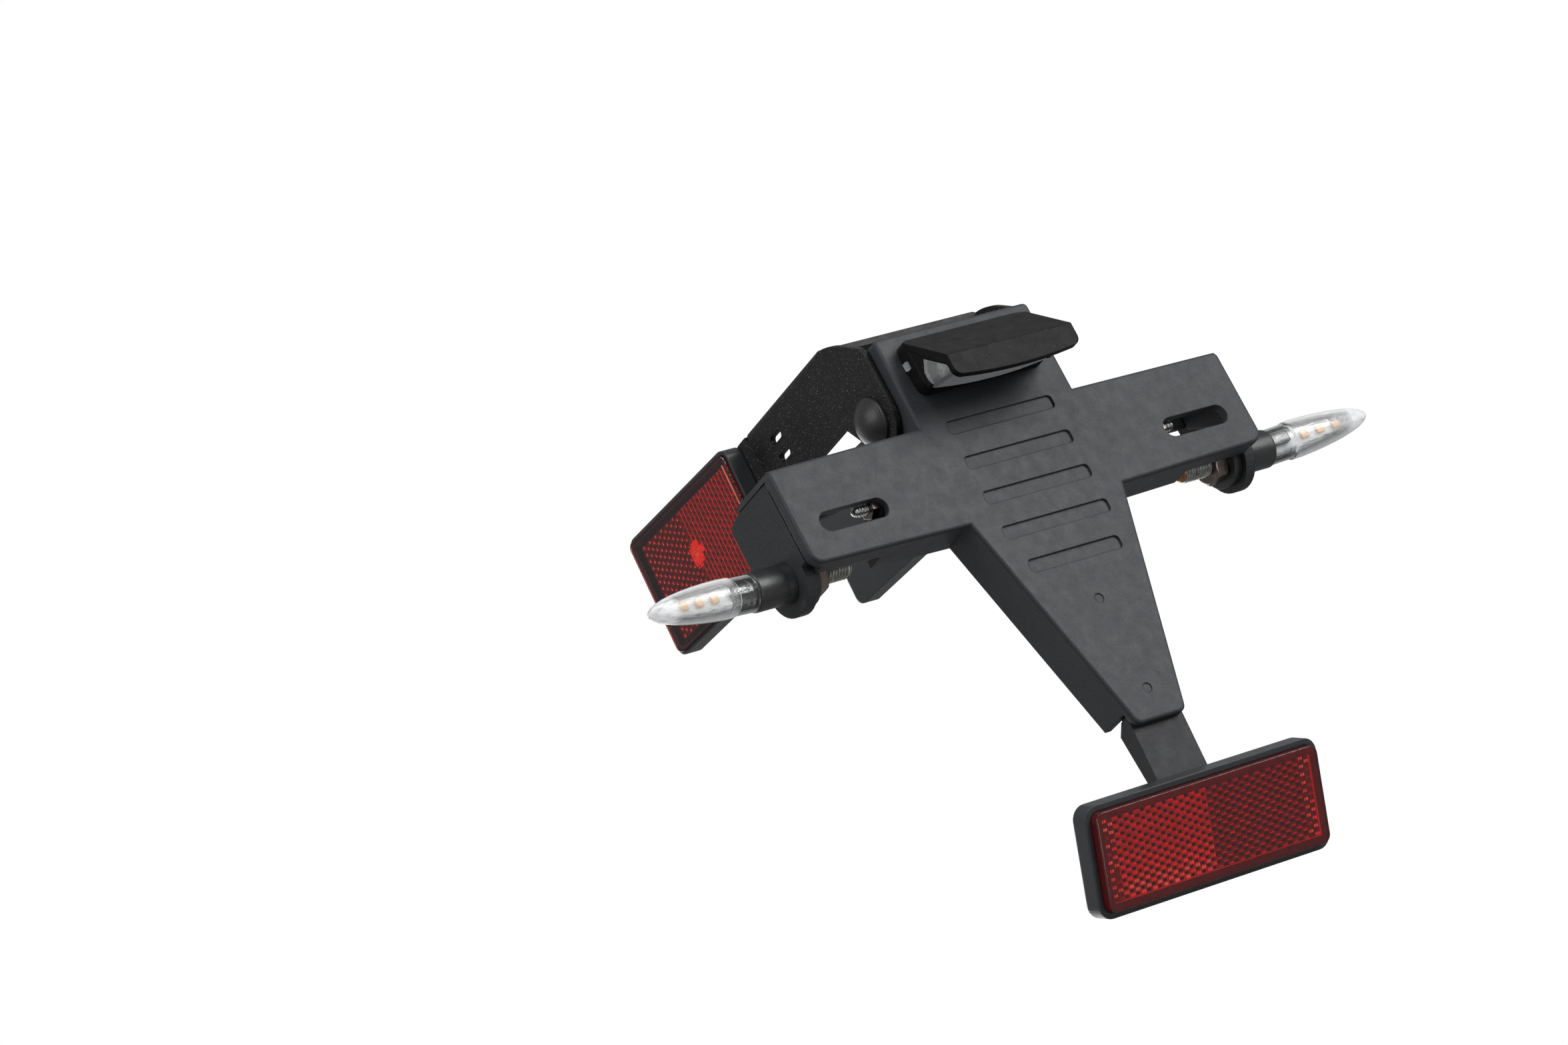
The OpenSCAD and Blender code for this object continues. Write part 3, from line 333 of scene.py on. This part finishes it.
MOULDED = {
    "carrier_plastic": dict(dark=srgb(55, 57, 61), light=srgb(58, 60, 64), rough=0.5,
                            gloss=0.35, dust_and_glints=0.1, shade_reach=0.03),
    "bracket_plastic": dict(dark=srgb(50, 52, 54), light=srgb(57, 59, 61), rough=0.5,
                            edge=0.0005, shade_reach=0.02),
    "stem_plastic": dict(dark=srgb(43, 44, 46), light=srgb(49, 50, 53), rough=0.48, edge=0.0005),
    "frame_plastic": dict(dark=srgb(48, 51, 54), light=srgb(57, 60, 64), rough=0.34, grain=3200,
                          depth=0.00002, edge=0.0008, gloss=0.5),
    "lamp_plastic": dict(dark=srgb(19, 19, 20), light=srgb(27, 27, 28), rough=0.4, grain=2300,
                         depth=0.00006, edge=0.0007, gloss=0.1, dust_and_glints=0.4),
    "shell_plastic": dict(dark=srgb(15, 15, 16), light=srgb(20, 20, 21), rough=0.22, grain=3000,
                          depth=0.00002, edge=0.0003, gloss=0.5),
    "black_steel": dict(dark=srgb(22, 21, 21), light=srgb(29, 28, 28), rough=0.44, grain=2000,
                        depth=0.00006, edge=0.0004, gloss=0.28, speck=0.8, shade_reach=0.03),
    "bolt_black": dict(dark=srgb(42, 42, 43), light=srgb(52, 52, 53), rough=0.36,
                       edge=0.0004, gloss=0.5),
    "rubber_black": dict(dark=srgb(38, 39, 41), light=srgb(46, 47, 49), rough=0.36, grain=2000,
                         depth=0.0001, edge=0.0004, gloss=0.7),
}
MATERIALS = {slot: moulded(slot, **look) for slot, look in MOULDED.items()}
MATERIALS.update({
    "zinc": metal("zinc", (0.62, 0.63, 0.63, 1), 0.3),
    "dark_steel": metal("dark_steel", (0.24, 0.2, 0.18, 1), 0.28),
    "stud_steel": stud_metal(),
    "mirror_metal": metal("mirror_metal", (0.88, 0.88, 0.85, 1), 0.3, metallic=0.25),
    "clear_plastic": clear_plastic("clear_plastic", 0.1185, 0.16, 0.85),
    "red_plastic": prisms(),
    "board_white": board_white(),
    "amber_led": lacquer("amber_led", srgb(242, 182, 108), 0.3),
})
REAR_COVER, SIDE_COVER = red_cover("rear_red", 0.035), red_cover("side_red", 0.012)
LAMP_CLEAR = clear_plastic("lamp_clear", 0.0236, 0.15, 0.5)

for part in frame["record"]["subparts"]:
    node = frame["nodes"][part["node"]]
    node.data.materials.clear()
    node.data.materials.append(MATERIALS[part["material_slot"]])
frame["nodes"]["lamp_lens"].data.materials[0] = LAMP_CLEAR


# Meshes of the pieces that the scene adds. From here on lengths are millimetres.

CARRIER_Y, CARRIER_Z = -58.0, -47.2
CARRIER = Matrix.Translation(Vector((0, CARRIER_Y, CARRIER_Z)))


def add_piece(name, points, faces, slot, body, stands_for=None, material=None, glow=None):
    """A closed mesh in the row frame that rides on a body. glow gives a strength to each face."""
    mesh = bpy.data.meshes.new(name)
    mesh.from_pydata([tuple(Vector(p) * MM) for p in points], [], faces)
    work = bmesh.new()
    work.from_mesh(mesh)
    bmesh.ops.recalc_face_normals(work, faces=work.faces)
    work.to_mesh(mesh)
    work.free()
    if glow:
        mesh.attributes.new("glow", "FLOAT", "FACE").data.foreach_set("value", glow)
    mesh.materials.append(material or MATERIALS[slot])
    piece = bpy.data.objects.new(name, mesh)
    bpy.context.scene.collection.objects.link(piece)
    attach(piece, body)
    if stands_for:
        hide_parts(stands_for)


def ring_faces(count, this, other):
    """Faces between two rings of count points, which start at the given points."""
    return [(this + i, this + (i + 1) % count, other + (i + 1) % count, other + i)
            for i in range(count)]


def joined(rings, capped=True):
    """Points and faces of a skin over rings of equal length."""
    count = len(rings[0])
    points = [p for ring in rings for p in ring]
    faces = []
    for r in range(len(rings) - 1):
        faces += ring_faces(count, r * count, (r + 1) * count)
    if capped:
        faces.append(tuple(range(count)))
        faces.append(tuple(range(len(points) - count, len(points))))
    return points, faces


def rounded(width, height, radius, steps=6):
    """Points of a rounded rectangle about its centre."""
    points = []
    for cx, cy, start in ((1, 1, 0), (-1, 1, 90), (-1, -1, 180), (1, -1, 270)):
        for k in range(steps + 1):
            a = math.radians(start + 90 * k / steps)
            points.append((cx * (width / 2 - radius) + radius * math.cos(a),
                           cy * (height / 2 - radius) + radius * math.sin(a)))
    return points


# Reflectors: a clear cover over a sheet of prisms, with a dark rim or a row of teeth

REAR_CENTRE, REAR_LEAN = (0, 3.5, -159.0), 30.4
SIDE_CENTRE, SIDE_LEAN, SIDE_FACE = (0, 68.7, -21.5), 3.2, 44.1
REAR = (CARRIER @ Matrix.Translation(Vector(REAR_CENTRE))
        @ Matrix.Rotation(math.radians(REAR_LEAN), 4, "X"))
SIDE = Matrix.Translation(Vector(SIDE_CENTRE)) @ Matrix.Rotation(math.radians(SIDE_LEAN), 4, "X")


def rear_place(a, b, depth):
    """A point of the rear reflector: across, up, and behind its front face."""
    return REAR @ Vector((a, depth, b))


def side_place(hand):
    """The same for a side reflector, whose length runs forward."""
    def place(a, b, depth):
        p = SIDE @ Vector((SIDE_FACE - depth, a, b))
        p.x *= hand
        return p
    return place


COVER_CORNER, LEAST_CORNER = 3.0, 1.2


def cover(name, place, size, levels, body, stands_for, material):
    """Clear red cover: outlines at several depths, each set in by some amount."""
    width, height = size
    rings = []
    for depth, inset in levels:
        corner = max(COVER_CORNER - inset, LEAST_CORNER)
        outline = rounded(width - 2 * inset, height - 2 * inset, corner)
        rings.append([place(a, b, depth) for a, b in outline])
    points, faces = joined(rings)
    add_piece(name, points, faces, "red_plastic", body, stands_for, material)


# Lines inside one prism cell, as shares of its column and row, and those in its middle
CELL_U, MIDDLE_U = (0.0, 0.13, 0.22, 0.54, 0.62, 0.94), (2, 3, 4)
CELL_V, MIDDLE_V = (0.0, 0.14, 0.5, 0.86), (1, 2)
FLANKS = (2, 4)
SHEET_THICKNESS = 1.3
SHEET_EDGE_GLOW, SHEET_BACK_GLOW = 0.15, 0.1


def prism_dip(cells, i, u, j, v):
    """How deep the line u of column i and the line v of row j lie below the sheet's front."""
    if i == cells[0] or j == cells[1] or u == 0 or v == 0:
        return 0.25 if u > 1 or v > 0 else 0.0
    if u == 1:
        return 0.2
    if (i + j) % 2 == 0:
        return 0.75 if v == 2 else 0.5
    return 0.3 if u in (3, 4) else 0.12


def prism_sheet(name, place, field, cells, front, glow, body):
    """A sheet of prisms in columns. Every second cell is a pit, the others roofs, made dark and
    bright by painted light on their faces.
    """
    low_a, low_b, high_a, high_b = field
    columns, rows = cells
    us = [(i, u) for i in range(columns) for u in range(len(CELL_U))] + [(columns, 0)]
    vs = [(j, v) for j in range(rows) for v in range(len(CELL_V))] + [(rows, 0)]
    wide, tall = len(us), len(vs)

    def at(n, k, depth):
        (i, u), (j, v) = us[n], vs[k]
        return place(low_a + (high_a - low_a) * (i + CELL_U[u]) / columns,
                     low_b + (high_b - low_b) * (j + CELL_V[v]) / rows, front + depth)

    points = [at(n, k, prism_dip(cells, *us[n], *vs[k])) for k in range(tall) for n in range(wide)]
    faces, values = [], []
    for k in range(tall - 1):
        for n in range(wide - 1):
            this, above = k * wide + n, (k + 1) * wide + n
            faces.append((this, this + 1, above + 1, above))
            values.append(glow(*us[n], *vs[k]))
    border = ([(0, n) for n in range(wide)] + [(k, wide - 1) for k in range(1, tall)]
              + [(tall - 1, n) for n in range(wide - 2, -1, -1)]
              + [(k, 0) for k in range(tall - 2, 0, -1)])
    start = len(points)
    points += [at(n, k, SHEET_THICKNESS) for k, n in border]
    for m, (k, n) in enumerate(border):
        after = (m + 1) % len(border)
        next_k, next_n = border[after]
        faces.append((k * wide + n, next_k * wide + next_n, start + after, start + m))
        values.append(SHEET_EDGE_GLOW)
    faces.append(tuple(range(start, start + len(border))))
    values.append(SHEET_BACK_GLOW)
    add_piece(name, points, faces, "red_plastic", body, glow=values)


def chances(seed, columns, rows):
    """A random number for each cell."""
    rng = random.Random(seed)
    return [[rng.random() for _ in range(rows)] for _ in range(columns)]


END_COLUMNS = 2


def rear_glow(columns, rows):
    """Painted returned light. Left half: bright blocks, stronger below. Right half: dim dots. End
    columns: bright dots.
    """
    level = chances(11, columns, rows)

    def glow(i, u, j, v):
        chance = level[i][j]
        pit = (i + j) % 2 == 0
        middle = u in MIDDLE_U and v in MIDDLE_V
        if i < END_COLUMNS or i >= columns - END_COLUMNS:
            if pit or u == 3 or not middle:
                return 0.2
            return 0.75 + 0.35 * chance if chance > 0.35 else 0.3 + 0.3 * chance
        if i >= columns // 2:
            if pit:
                return 0.04 if middle else 0.24
            if u in FLANKS and v == 1:
                return 0.5 + 0.25 * chance
            return 0.3 if u in MIDDLE_U else 0.26
        if pit:
            return 0.0 if middle else 0.4 + 0.12 * chance
        if not middle:
            return 0.42
        height = min(1.0, j / (0.55 * rows))
        strong = (1.08 - 0.36 * height) * (0.86 + 0.22 * chance)
        if u == 3:
            return strong * (0.95 if height < 0.25 and chance > 0.5 else 0.55)
        return strong * (1.0 if v == 2 or height < 0.5 else 0.72)
    return glow


SIDE_CELL_W, SIDE_CELL_H = 2.3, 1.33
SPOT_CENTRE, SPOT_RADIUS = (15.3, 14.7), 3.3  # the painted bright spot of returned light, in cells
SIDE_SPLIT = 16                               # first column of the front half


def side_glow(columns, rows):
    """Painted returned light. Rear half: thin bright dashes along the columns. Front half: one
    bright dot in each cell.
    """
    level = chances(5, columns, rows)
    stretch = SIDE_CELL_W / SIDE_CELL_H

    def glow(i, u, j, v):
        pit = (i + j) % 2 == 0
        far = math.hypot((i + 0.5 - SPOT_CENTRE[0]) * stretch, j + 0.5 - SPOT_CENTRE[1])
        if far < SPOT_RADIUS:
            if pit and u == 3:
                return 0.4
            return 1.1 - 0.1 * far if v == 2 or not pit else 0.7
        if i < SIDE_SPLIT:
            if u == 0:
                return 1.0 if pit else 0.7
            if u in MIDDLE_U and v in MIDDLE_V:
                return 0.08 if pit else 0.24 + 0.14 * level[i][j]
            return 0.22
        if pit:
            return 0.09
        if u == 2 and v in MIDDLE_V:
            return 1.2 if v == 1 else 0.7
        return 0.75 if u == 3 and v == 2 else 0.24
    return glow


RIM_GLOWS = (0.13, 0.55, 0.1, 0.1)  # front, inner wall, back, outer wall


def rim(name, place, outer, inner, depths, body):
    """Dark red wall of the moulding round the prisms, with painted light on its inner side."""
    low_a, low_b, high_a, high_b = inner
    mid_a, mid_b = (low_a + high_a) / 2, (low_b + high_b) / 2
    inside = [(a + mid_a, b + mid_b) for a, b in rounded(high_a - low_a, high_b - low_b, 0.6)]
    outside = rounded(*outer)
    front, back = depths
    corners_round = ((front, outside), (front, inside), (back, inside), (back, outside))
    rings = [[place(a, b, depth) for a, b in line] for depth, line in corners_round]
    points, faces = joined(rings, capped=False)
    count = len(outside)
    faces += ring_faces(count, 3 * count, 0)
    values = [glow for glow in RIM_GLOWS for _ in range(count)]
    add_piece(name, points, faces, "red_plastic", body, glow=values)


TEETH, TEETH_LOW, TEETH_HIGH = 14, -18.2, 18.2
# Painted light and shade of each wedge's faces, and the painted highlight of the raised line
TOOTH_GLOWS = (0.1, 0.25, 0.95, 0.6)
TOOTH_FACES = ((0, 1, 2), (0, 1, 3), (1, 2, 3), (2, 0, 3))
LINE_REAR, LINE_FRONT, LINE_GLOW = -33.1, -32.75, 1.3
BAR_FACES = ((0, 1, 2, 3), (4, 5, 6, 7), (0, 1, 5, 4), (1, 2, 6, 5), (2, 3, 7, 6), (3, 0, 4, 7))


def teeth(name, place):
    """A row of small wedges along the reflector's rear edge, their faces painted light and dark,
    and a raised line beside it painted as a pale highlight.
    """
    points, faces, values = [], [], []
    step = (TEETH_HIGH - TEETH_LOW) / TEETH
    for k in range(TEETH):
        b = TEETH_LOW + k * step
        wedge = ((-35.0, b, 2.4), (-35.0, b + step * 0.9, 2.4), (-33.4, b + step * 0.3, 2.4),
                 (-34.6, b + step * 0.4, 1.5))
        faces += [tuple(len(points) + n for n in face) for face in TOOTH_FACES]
        points += [place(*corner) for corner in wedge]
        values += TOOTH_GLOWS
    faces += [tuple(len(points) + n for n in face) for face in BAR_FACES]
    line = ((LINE_REAR, TEETH_LOW), (LINE_FRONT, TEETH_LOW), (LINE_FRONT, TEETH_HIGH),
            (LINE_REAR, TEETH_HIGH))
    points += [place(a, b, depth) for depth in (1.1, 1.5) for a, b in line]
    values += [LINE_GLOW] * len(BAR_FACES)
    add_piece(name, points, faces, "red_plastic", "bracket", glow=values)


REAR_SIZE, REAR_CELLS, REAR_PRISM_FRONT = (94.6, 33.0), (38, 20), 1.9
REAR_LEVELS = ((6.1, 0.0), (0.45, 0.0), (0.13, 0.13), (0.0, 0.45))
REAR_FIELD = (-44.4, -13.6, 44.4, 13.6)
RIM_OUTER, RIM_INNER = (93.8, 32.2, 2.6), (-44.5, -13.7, 44.5, 13.7)
RIM_DEPTHS = (1.1, 5.6)
cover("rear_cover", rear_place, REAR_SIZE, REAR_LEVELS, "carrier", "rear_lens", REAR_COVER)
prism_sheet("rear_prisms", rear_place, REAR_FIELD, REAR_CELLS, REAR_PRISM_FRONT,
            rear_glow(*REAR_CELLS), "carrier")
rim("rear_rim", rear_place, RIM_OUTER, RIM_INNER, RIM_DEPTHS, "carrier")

SIDE_SIZE, SIDE_CELLS, SIDE_PRISM_FRONT = (73.4, 43.4), (28, 27), 1.6
SIDE_LEVELS = ((4.8, 1.2), (1.4, 1.2), (1.4, 0.0), (0.4, 0.0), (0.12, 0.12), (0.0, 0.4))
SIDE_FIELD = (-32.4, -18.0, 32.0, 18.0)
for hand, tail in SIDES:
    cover("side_cover_" + tail, side_place(hand), SIDE_SIZE, SIDE_LEVELS, "bracket",
          "side_lens_" + tail, SIDE_COVER)
    prism_sheet("side_prisms_" + tail, side_place(hand), SIDE_FIELD, SIDE_CELLS, SIDE_PRISM_FRONT,
                side_glow(*SIDE_CELLS), "bracket")
for hand, tail in SIDES:
    teeth("side_teeth_" + tail, side_place(hand))


# Threaded studs and screws, and nuts with turned corners. They lie along X.

STALK = (CARRIER_Y + 19.2, CARRIER_Z - 32.3)
WEB_SCREW = (CARRIER_Y + 6.6, CARRIER_Z - 19.7)
ROD_STEPS, THREAD_RINGS_PER_TURN = 40, 8
THREAD_SLOPE, THREAD_ROOT = 1.35, 0.1  # how steep the flanks are and how wide the root is
NUT_STEPS = 72
NUT_TURNED = 0.97  # radius of the turned face, as a share of half the width across flats


def rod_point(x, r, a, centre, hand):
    return (hand * x, centre[0] + r * math.cos(a), centre[1] + r * math.sin(a))


def plain_ring(x, r, centre, hand, steps=ROD_STEPS):
    return [rod_point(x, r, 2 * math.pi * n / steps, centre, hand) for n in range(steps)]


def turned(profile, centre, hand):
    """Rings of a turned rod, from pairs of X and radius."""
    return [plain_ring(x, r, centre, hand) for x, r in profile]


def thread_rings(x0, x1, root, crest, pitch, centre, hand):
    """Rings of a threaded rod. The thread runs out at both ends."""
    rings = []
    count = int(round((x1 - x0) / pitch * THREAD_RINGS_PER_TURN))
    for k in range(count + 1):
        x = x0 + (x1 - x0) * k / count
        full = min(1.0, (x - x0) / pitch, (x1 - x) / pitch)
        ring = []
        for n in range(ROD_STEPS):
            turn = n / ROD_STEPS
            wave = abs(2 * ((x / pitch - turn) % 1.0) - 1)
            height = max(0.0, min(1.0, THREAD_SLOPE * wave - THREAD_ROOT))
            r = root + (crest - root) * height * full
            ring.append(rod_point(x, r, 2 * math.pi * turn, centre, hand))
        rings.append(ring)
    return rings


def nut(name, x0, x1, flats, hole, centre, hand, slot, body, stands_for):
    """A hexagon nut whose corners are turned off at both faces."""
    rings = [plain_ring(x0, hole / 2, centre, hand, NUT_STEPS)]
    for x, bite in ((x0, 0.0), (x0 + 0.5, 0.85), (x0 + 1.1, 9.0),
                    (x1 - 1.1, 9.0), (x1 - 0.5, 0.85), (x1, 0.0)):
        ring = []
        for n in range(NUT_STEPS):
            a = 2 * math.pi * n / NUT_STEPS
            six = flats / 2 / math.cos((a % (math.pi / 3)) - math.pi / 6)
            ring.append(rod_point(x, min(six, flats / 2 * NUT_TURNED + bite), a, centre, hand))
        rings.append(ring)
    rings.append(plain_ring(x1, hole / 2, centre, hand, NUT_STEPS))
    points, faces = joined(rings, capped=False)
    faces += ring_faces(NUT_STEPS, len(points) - NUT_STEPS, 0)
    add_piece(name, points, faces, slot, body, stands_for)


STUD_BORE_AND_END = ((76.9, 2.0), (70.9, 2.0), (70.9, 2.7), (71.5, 3.3))
STUD_THREAD = (71.9, 101.8, 3.35, 4.0, 1.25)
STALK_NUT = (83.2, 88.7, 13.0, 8.1)
for hand, tail in SIDES:
    points, faces = joined(turned(STUD_BORE_AND_END, STALK, hand)
                           + thread_rings(*STUD_THREAD, STALK, hand))
    add_piece("stud_thread_" + tail, points, faces, "stud_steel", "carrier", "stud_" + tail)
    nut("chamfered_nut_" + tail, *STALK_NUT, STALK, hand, "dark_steel", "carrier",
        "stalk_nut_" + tail)


# Dark pin between the board's end and the tip of each indicator

LENS_START, LENS_LEAN = 110.8, math.radians(7.45)
PIN_ALONG, PIN_RADIUS, PIN_ENDS, PIN_STEPS = 36.0, 0.8, (-1.3, 0.7), 16


def pin(name, hand):
    x = LENS_START + PIN_ALONG * math.cos(LENS_LEAN)
    y = STALK[0] - PIN_ALONG * math.sin(LENS_LEAN)
    turns = [2 * math.pi * n / PIN_STEPS for n in range(PIN_STEPS)]
    rings = [[(hand * (x + PIN_RADIUS * math.cos(a)), y + end, STALK[1] + PIN_RADIUS * math.sin(a))
              for a in turns] for end in PIN_ENDS]
    points, faces = joined(rings)
    add_piece(name, points, faces, "shell_plastic", "carrier")


for hand, tail in SIDES:
    pin("indicator_pin_" + tail, hand)


# Both screws that hold the indicator brackets

SCREW_SOCKET_AND_HEAD = ((53.4, 0.9), (52.25, 1.3), (52.25, 2.8), (53.2, 3.35), (54.65, 3.6))
SCREW_THREAD = (54.65, 67.7, 1.6, 2.0, 1.2)
SCREW_TIP = ((68.2, 1.3), (68.45, 0.7))


def bracket_screw_pair():
    points, faces = [], []
    for hand, _ in SIDES:
        one_points, one_faces = joined(turned(SCREW_SOCKET_AND_HEAD, WEB_SCREW, hand)
                                       + thread_rings(*SCREW_THREAD, WEB_SCREW, hand)
                                       + turned(SCREW_TIP, WEB_SCREW, hand))
        faces += [tuple(len(points) + n for n in face) for face in one_faces]
        points += one_points
    add_piece("bracket_screw_pair", points, faces, "zinc", "carrier", "bracket_screws")


bracket_screw_pair()


# Pleated mirror of the licence lamp

PLEATS, PLEAT_PITCH, PLEAT_FOOT = 10, 0.5, 15.0
PLEAT_REAR, PLEAT_FRONT = -6.9, -6.55
MIRROR_HALF, MIRROR_BACK = 22.0, -6.0


def lamp_pleats():
    """Bright pleated plate behind the lamp's lens, folded forward at its foot."""
    pleats = []
    for k in range(PLEATS):
        z = PLEAT_FOOT + k * PLEAT_PITCH
        pleats += [(PLEAT_REAR, z), (PLEAT_FRONT, z + PLEAT_PITCH / 2)]
    top = PLEAT_FOOT + PLEATS * PLEAT_PITCH
    profile = ([(-14.5, 13.2), (-7.0, 14.6)] + pleats
               + [(MIRROR_BACK, top), (MIRROR_BACK, 14.2), (-14.5, 12.8)])
    rings = [[CARRIER @ Vector((x, y, z)) for y, z in profile] for x in (-MIRROR_HALF, MIRROR_HALF)]
    points, faces = joined(rings)
    add_piece("lamp_pleats", points, faces, "mirror_metal", "carrier", "lamp_mirror")


lamp_pleats()


# Stage: a white floor and backdrop, and soft studio lamps. Lengths are metres again.

FLOOR_DROP = 1.2  # low enough for views from any side
FLOOR_SIZE = 9.0
MIRRORED_WHITE = 0.15
SKY_LIGHT = 0.3
AIM = Vector((0, -0.04, -0.06))


def white_surround(name):
    """White to the camera and through clear parts, faint in mirrors, plain grey to other light."""
    m = Nodes(name)
    seen = m.node("LightPath")
    mirrored = m.math("MULTIPLY", seen.outputs["Is Glossy Ray"], MIRRORED_WHITE)
    direct = m.math("MAXIMUM", seen.outputs["Is Camera Ray"],
                    m.math("MAXIMUM", seen.outputs["Is Transmission Ray"], mirrored))
    m.set(Base_Color=(0.22, 0.22, 0.22, 1), Roughness=0.9)
    glow = m.surface("Emission", Color=WHITE, Strength=1.0)
    return m.finish(m.blend(direct, m.shader.outputs[0], glow))


def add_floor():
    """A floor level in the part's own frame."""
    outline = ((-1, -1), (1, -1), (1, 1), (-1, 1))
    mesh = bpy.data.meshes.new("floor")
    mesh.from_pydata([(x * FLOOR_SIZE, y * FLOOR_SIZE, 0) for x, y in outline], [], [(0, 1, 2, 3)])
    mesh.materials.append(white_surround("floor_white"))
    floor = bpy.data.objects.new("floor", mesh)
    floor.matrix_world = Matrix.Translation((0, 0, -FLOOR_DROP))
    bpy.context.scene.collection.objects.link(floor)


def add_backdrop():
    """A world that is white to the camera and a weak light to everything else."""
    world = bpy.data.worlds.new("studio")
    world.use_nodes = True
    tree = world.node_tree
    light = tree.nodes["Background"]
    light.inputs["Color"].default_value = WHITE
    seen = tree.nodes.new("ShaderNodeLightPath")
    level = tree.nodes.new("ShaderNodeMapRange")
    level.inputs["To Min"].default_value = SKY_LIGHT
    level.inputs["To Max"].default_value = 1.0
    tree.links.new(seen.outputs["Is Camera Ray"], level.inputs["Value"])
    tree.links.new(level.outputs["Result"], light.inputs["Strength"])
    bpy.context.scene.world = world


def soft_lamp(name, offset, size, watts):
    """A square lamp placed by (right, up, back) metres from the object as the camera sees it."""
    data = bpy.data.lights.new(name, "AREA")
    data.size = size
    data.energy = watts
    lamp = bpy.data.objects.new(name, data)
    right, up, back = camera_axes()
    place = AIM + offset[0] * right + offset[1] * up + offset[2] * back
    lamp.matrix_world = (Matrix.Translation(place)
                         @ (place - AIM).to_track_quat("Z", "Y").to_matrix().to_4x4())
    bpy.context.scene.collection.objects.link(lamp)


add_floor()
add_backdrop()
soft_lamp("key", (0.95, 1.1, 0.45), 0.9, 15)
soft_lamp("top", (-0.45, 1.25, 0.55), 0.5, 5)
soft_lamp("side", (0.9, -0.5, 1.2), 0.8, 5)
soft_lamp("fill", (-1.2, 0.3, 0.8), 0.9, 6)
soft_lamp("behind", (-0.5, -0.6, -1.1), 0.9, 7)

bpy.context.scene.view_settings.view_transform = "Standard"
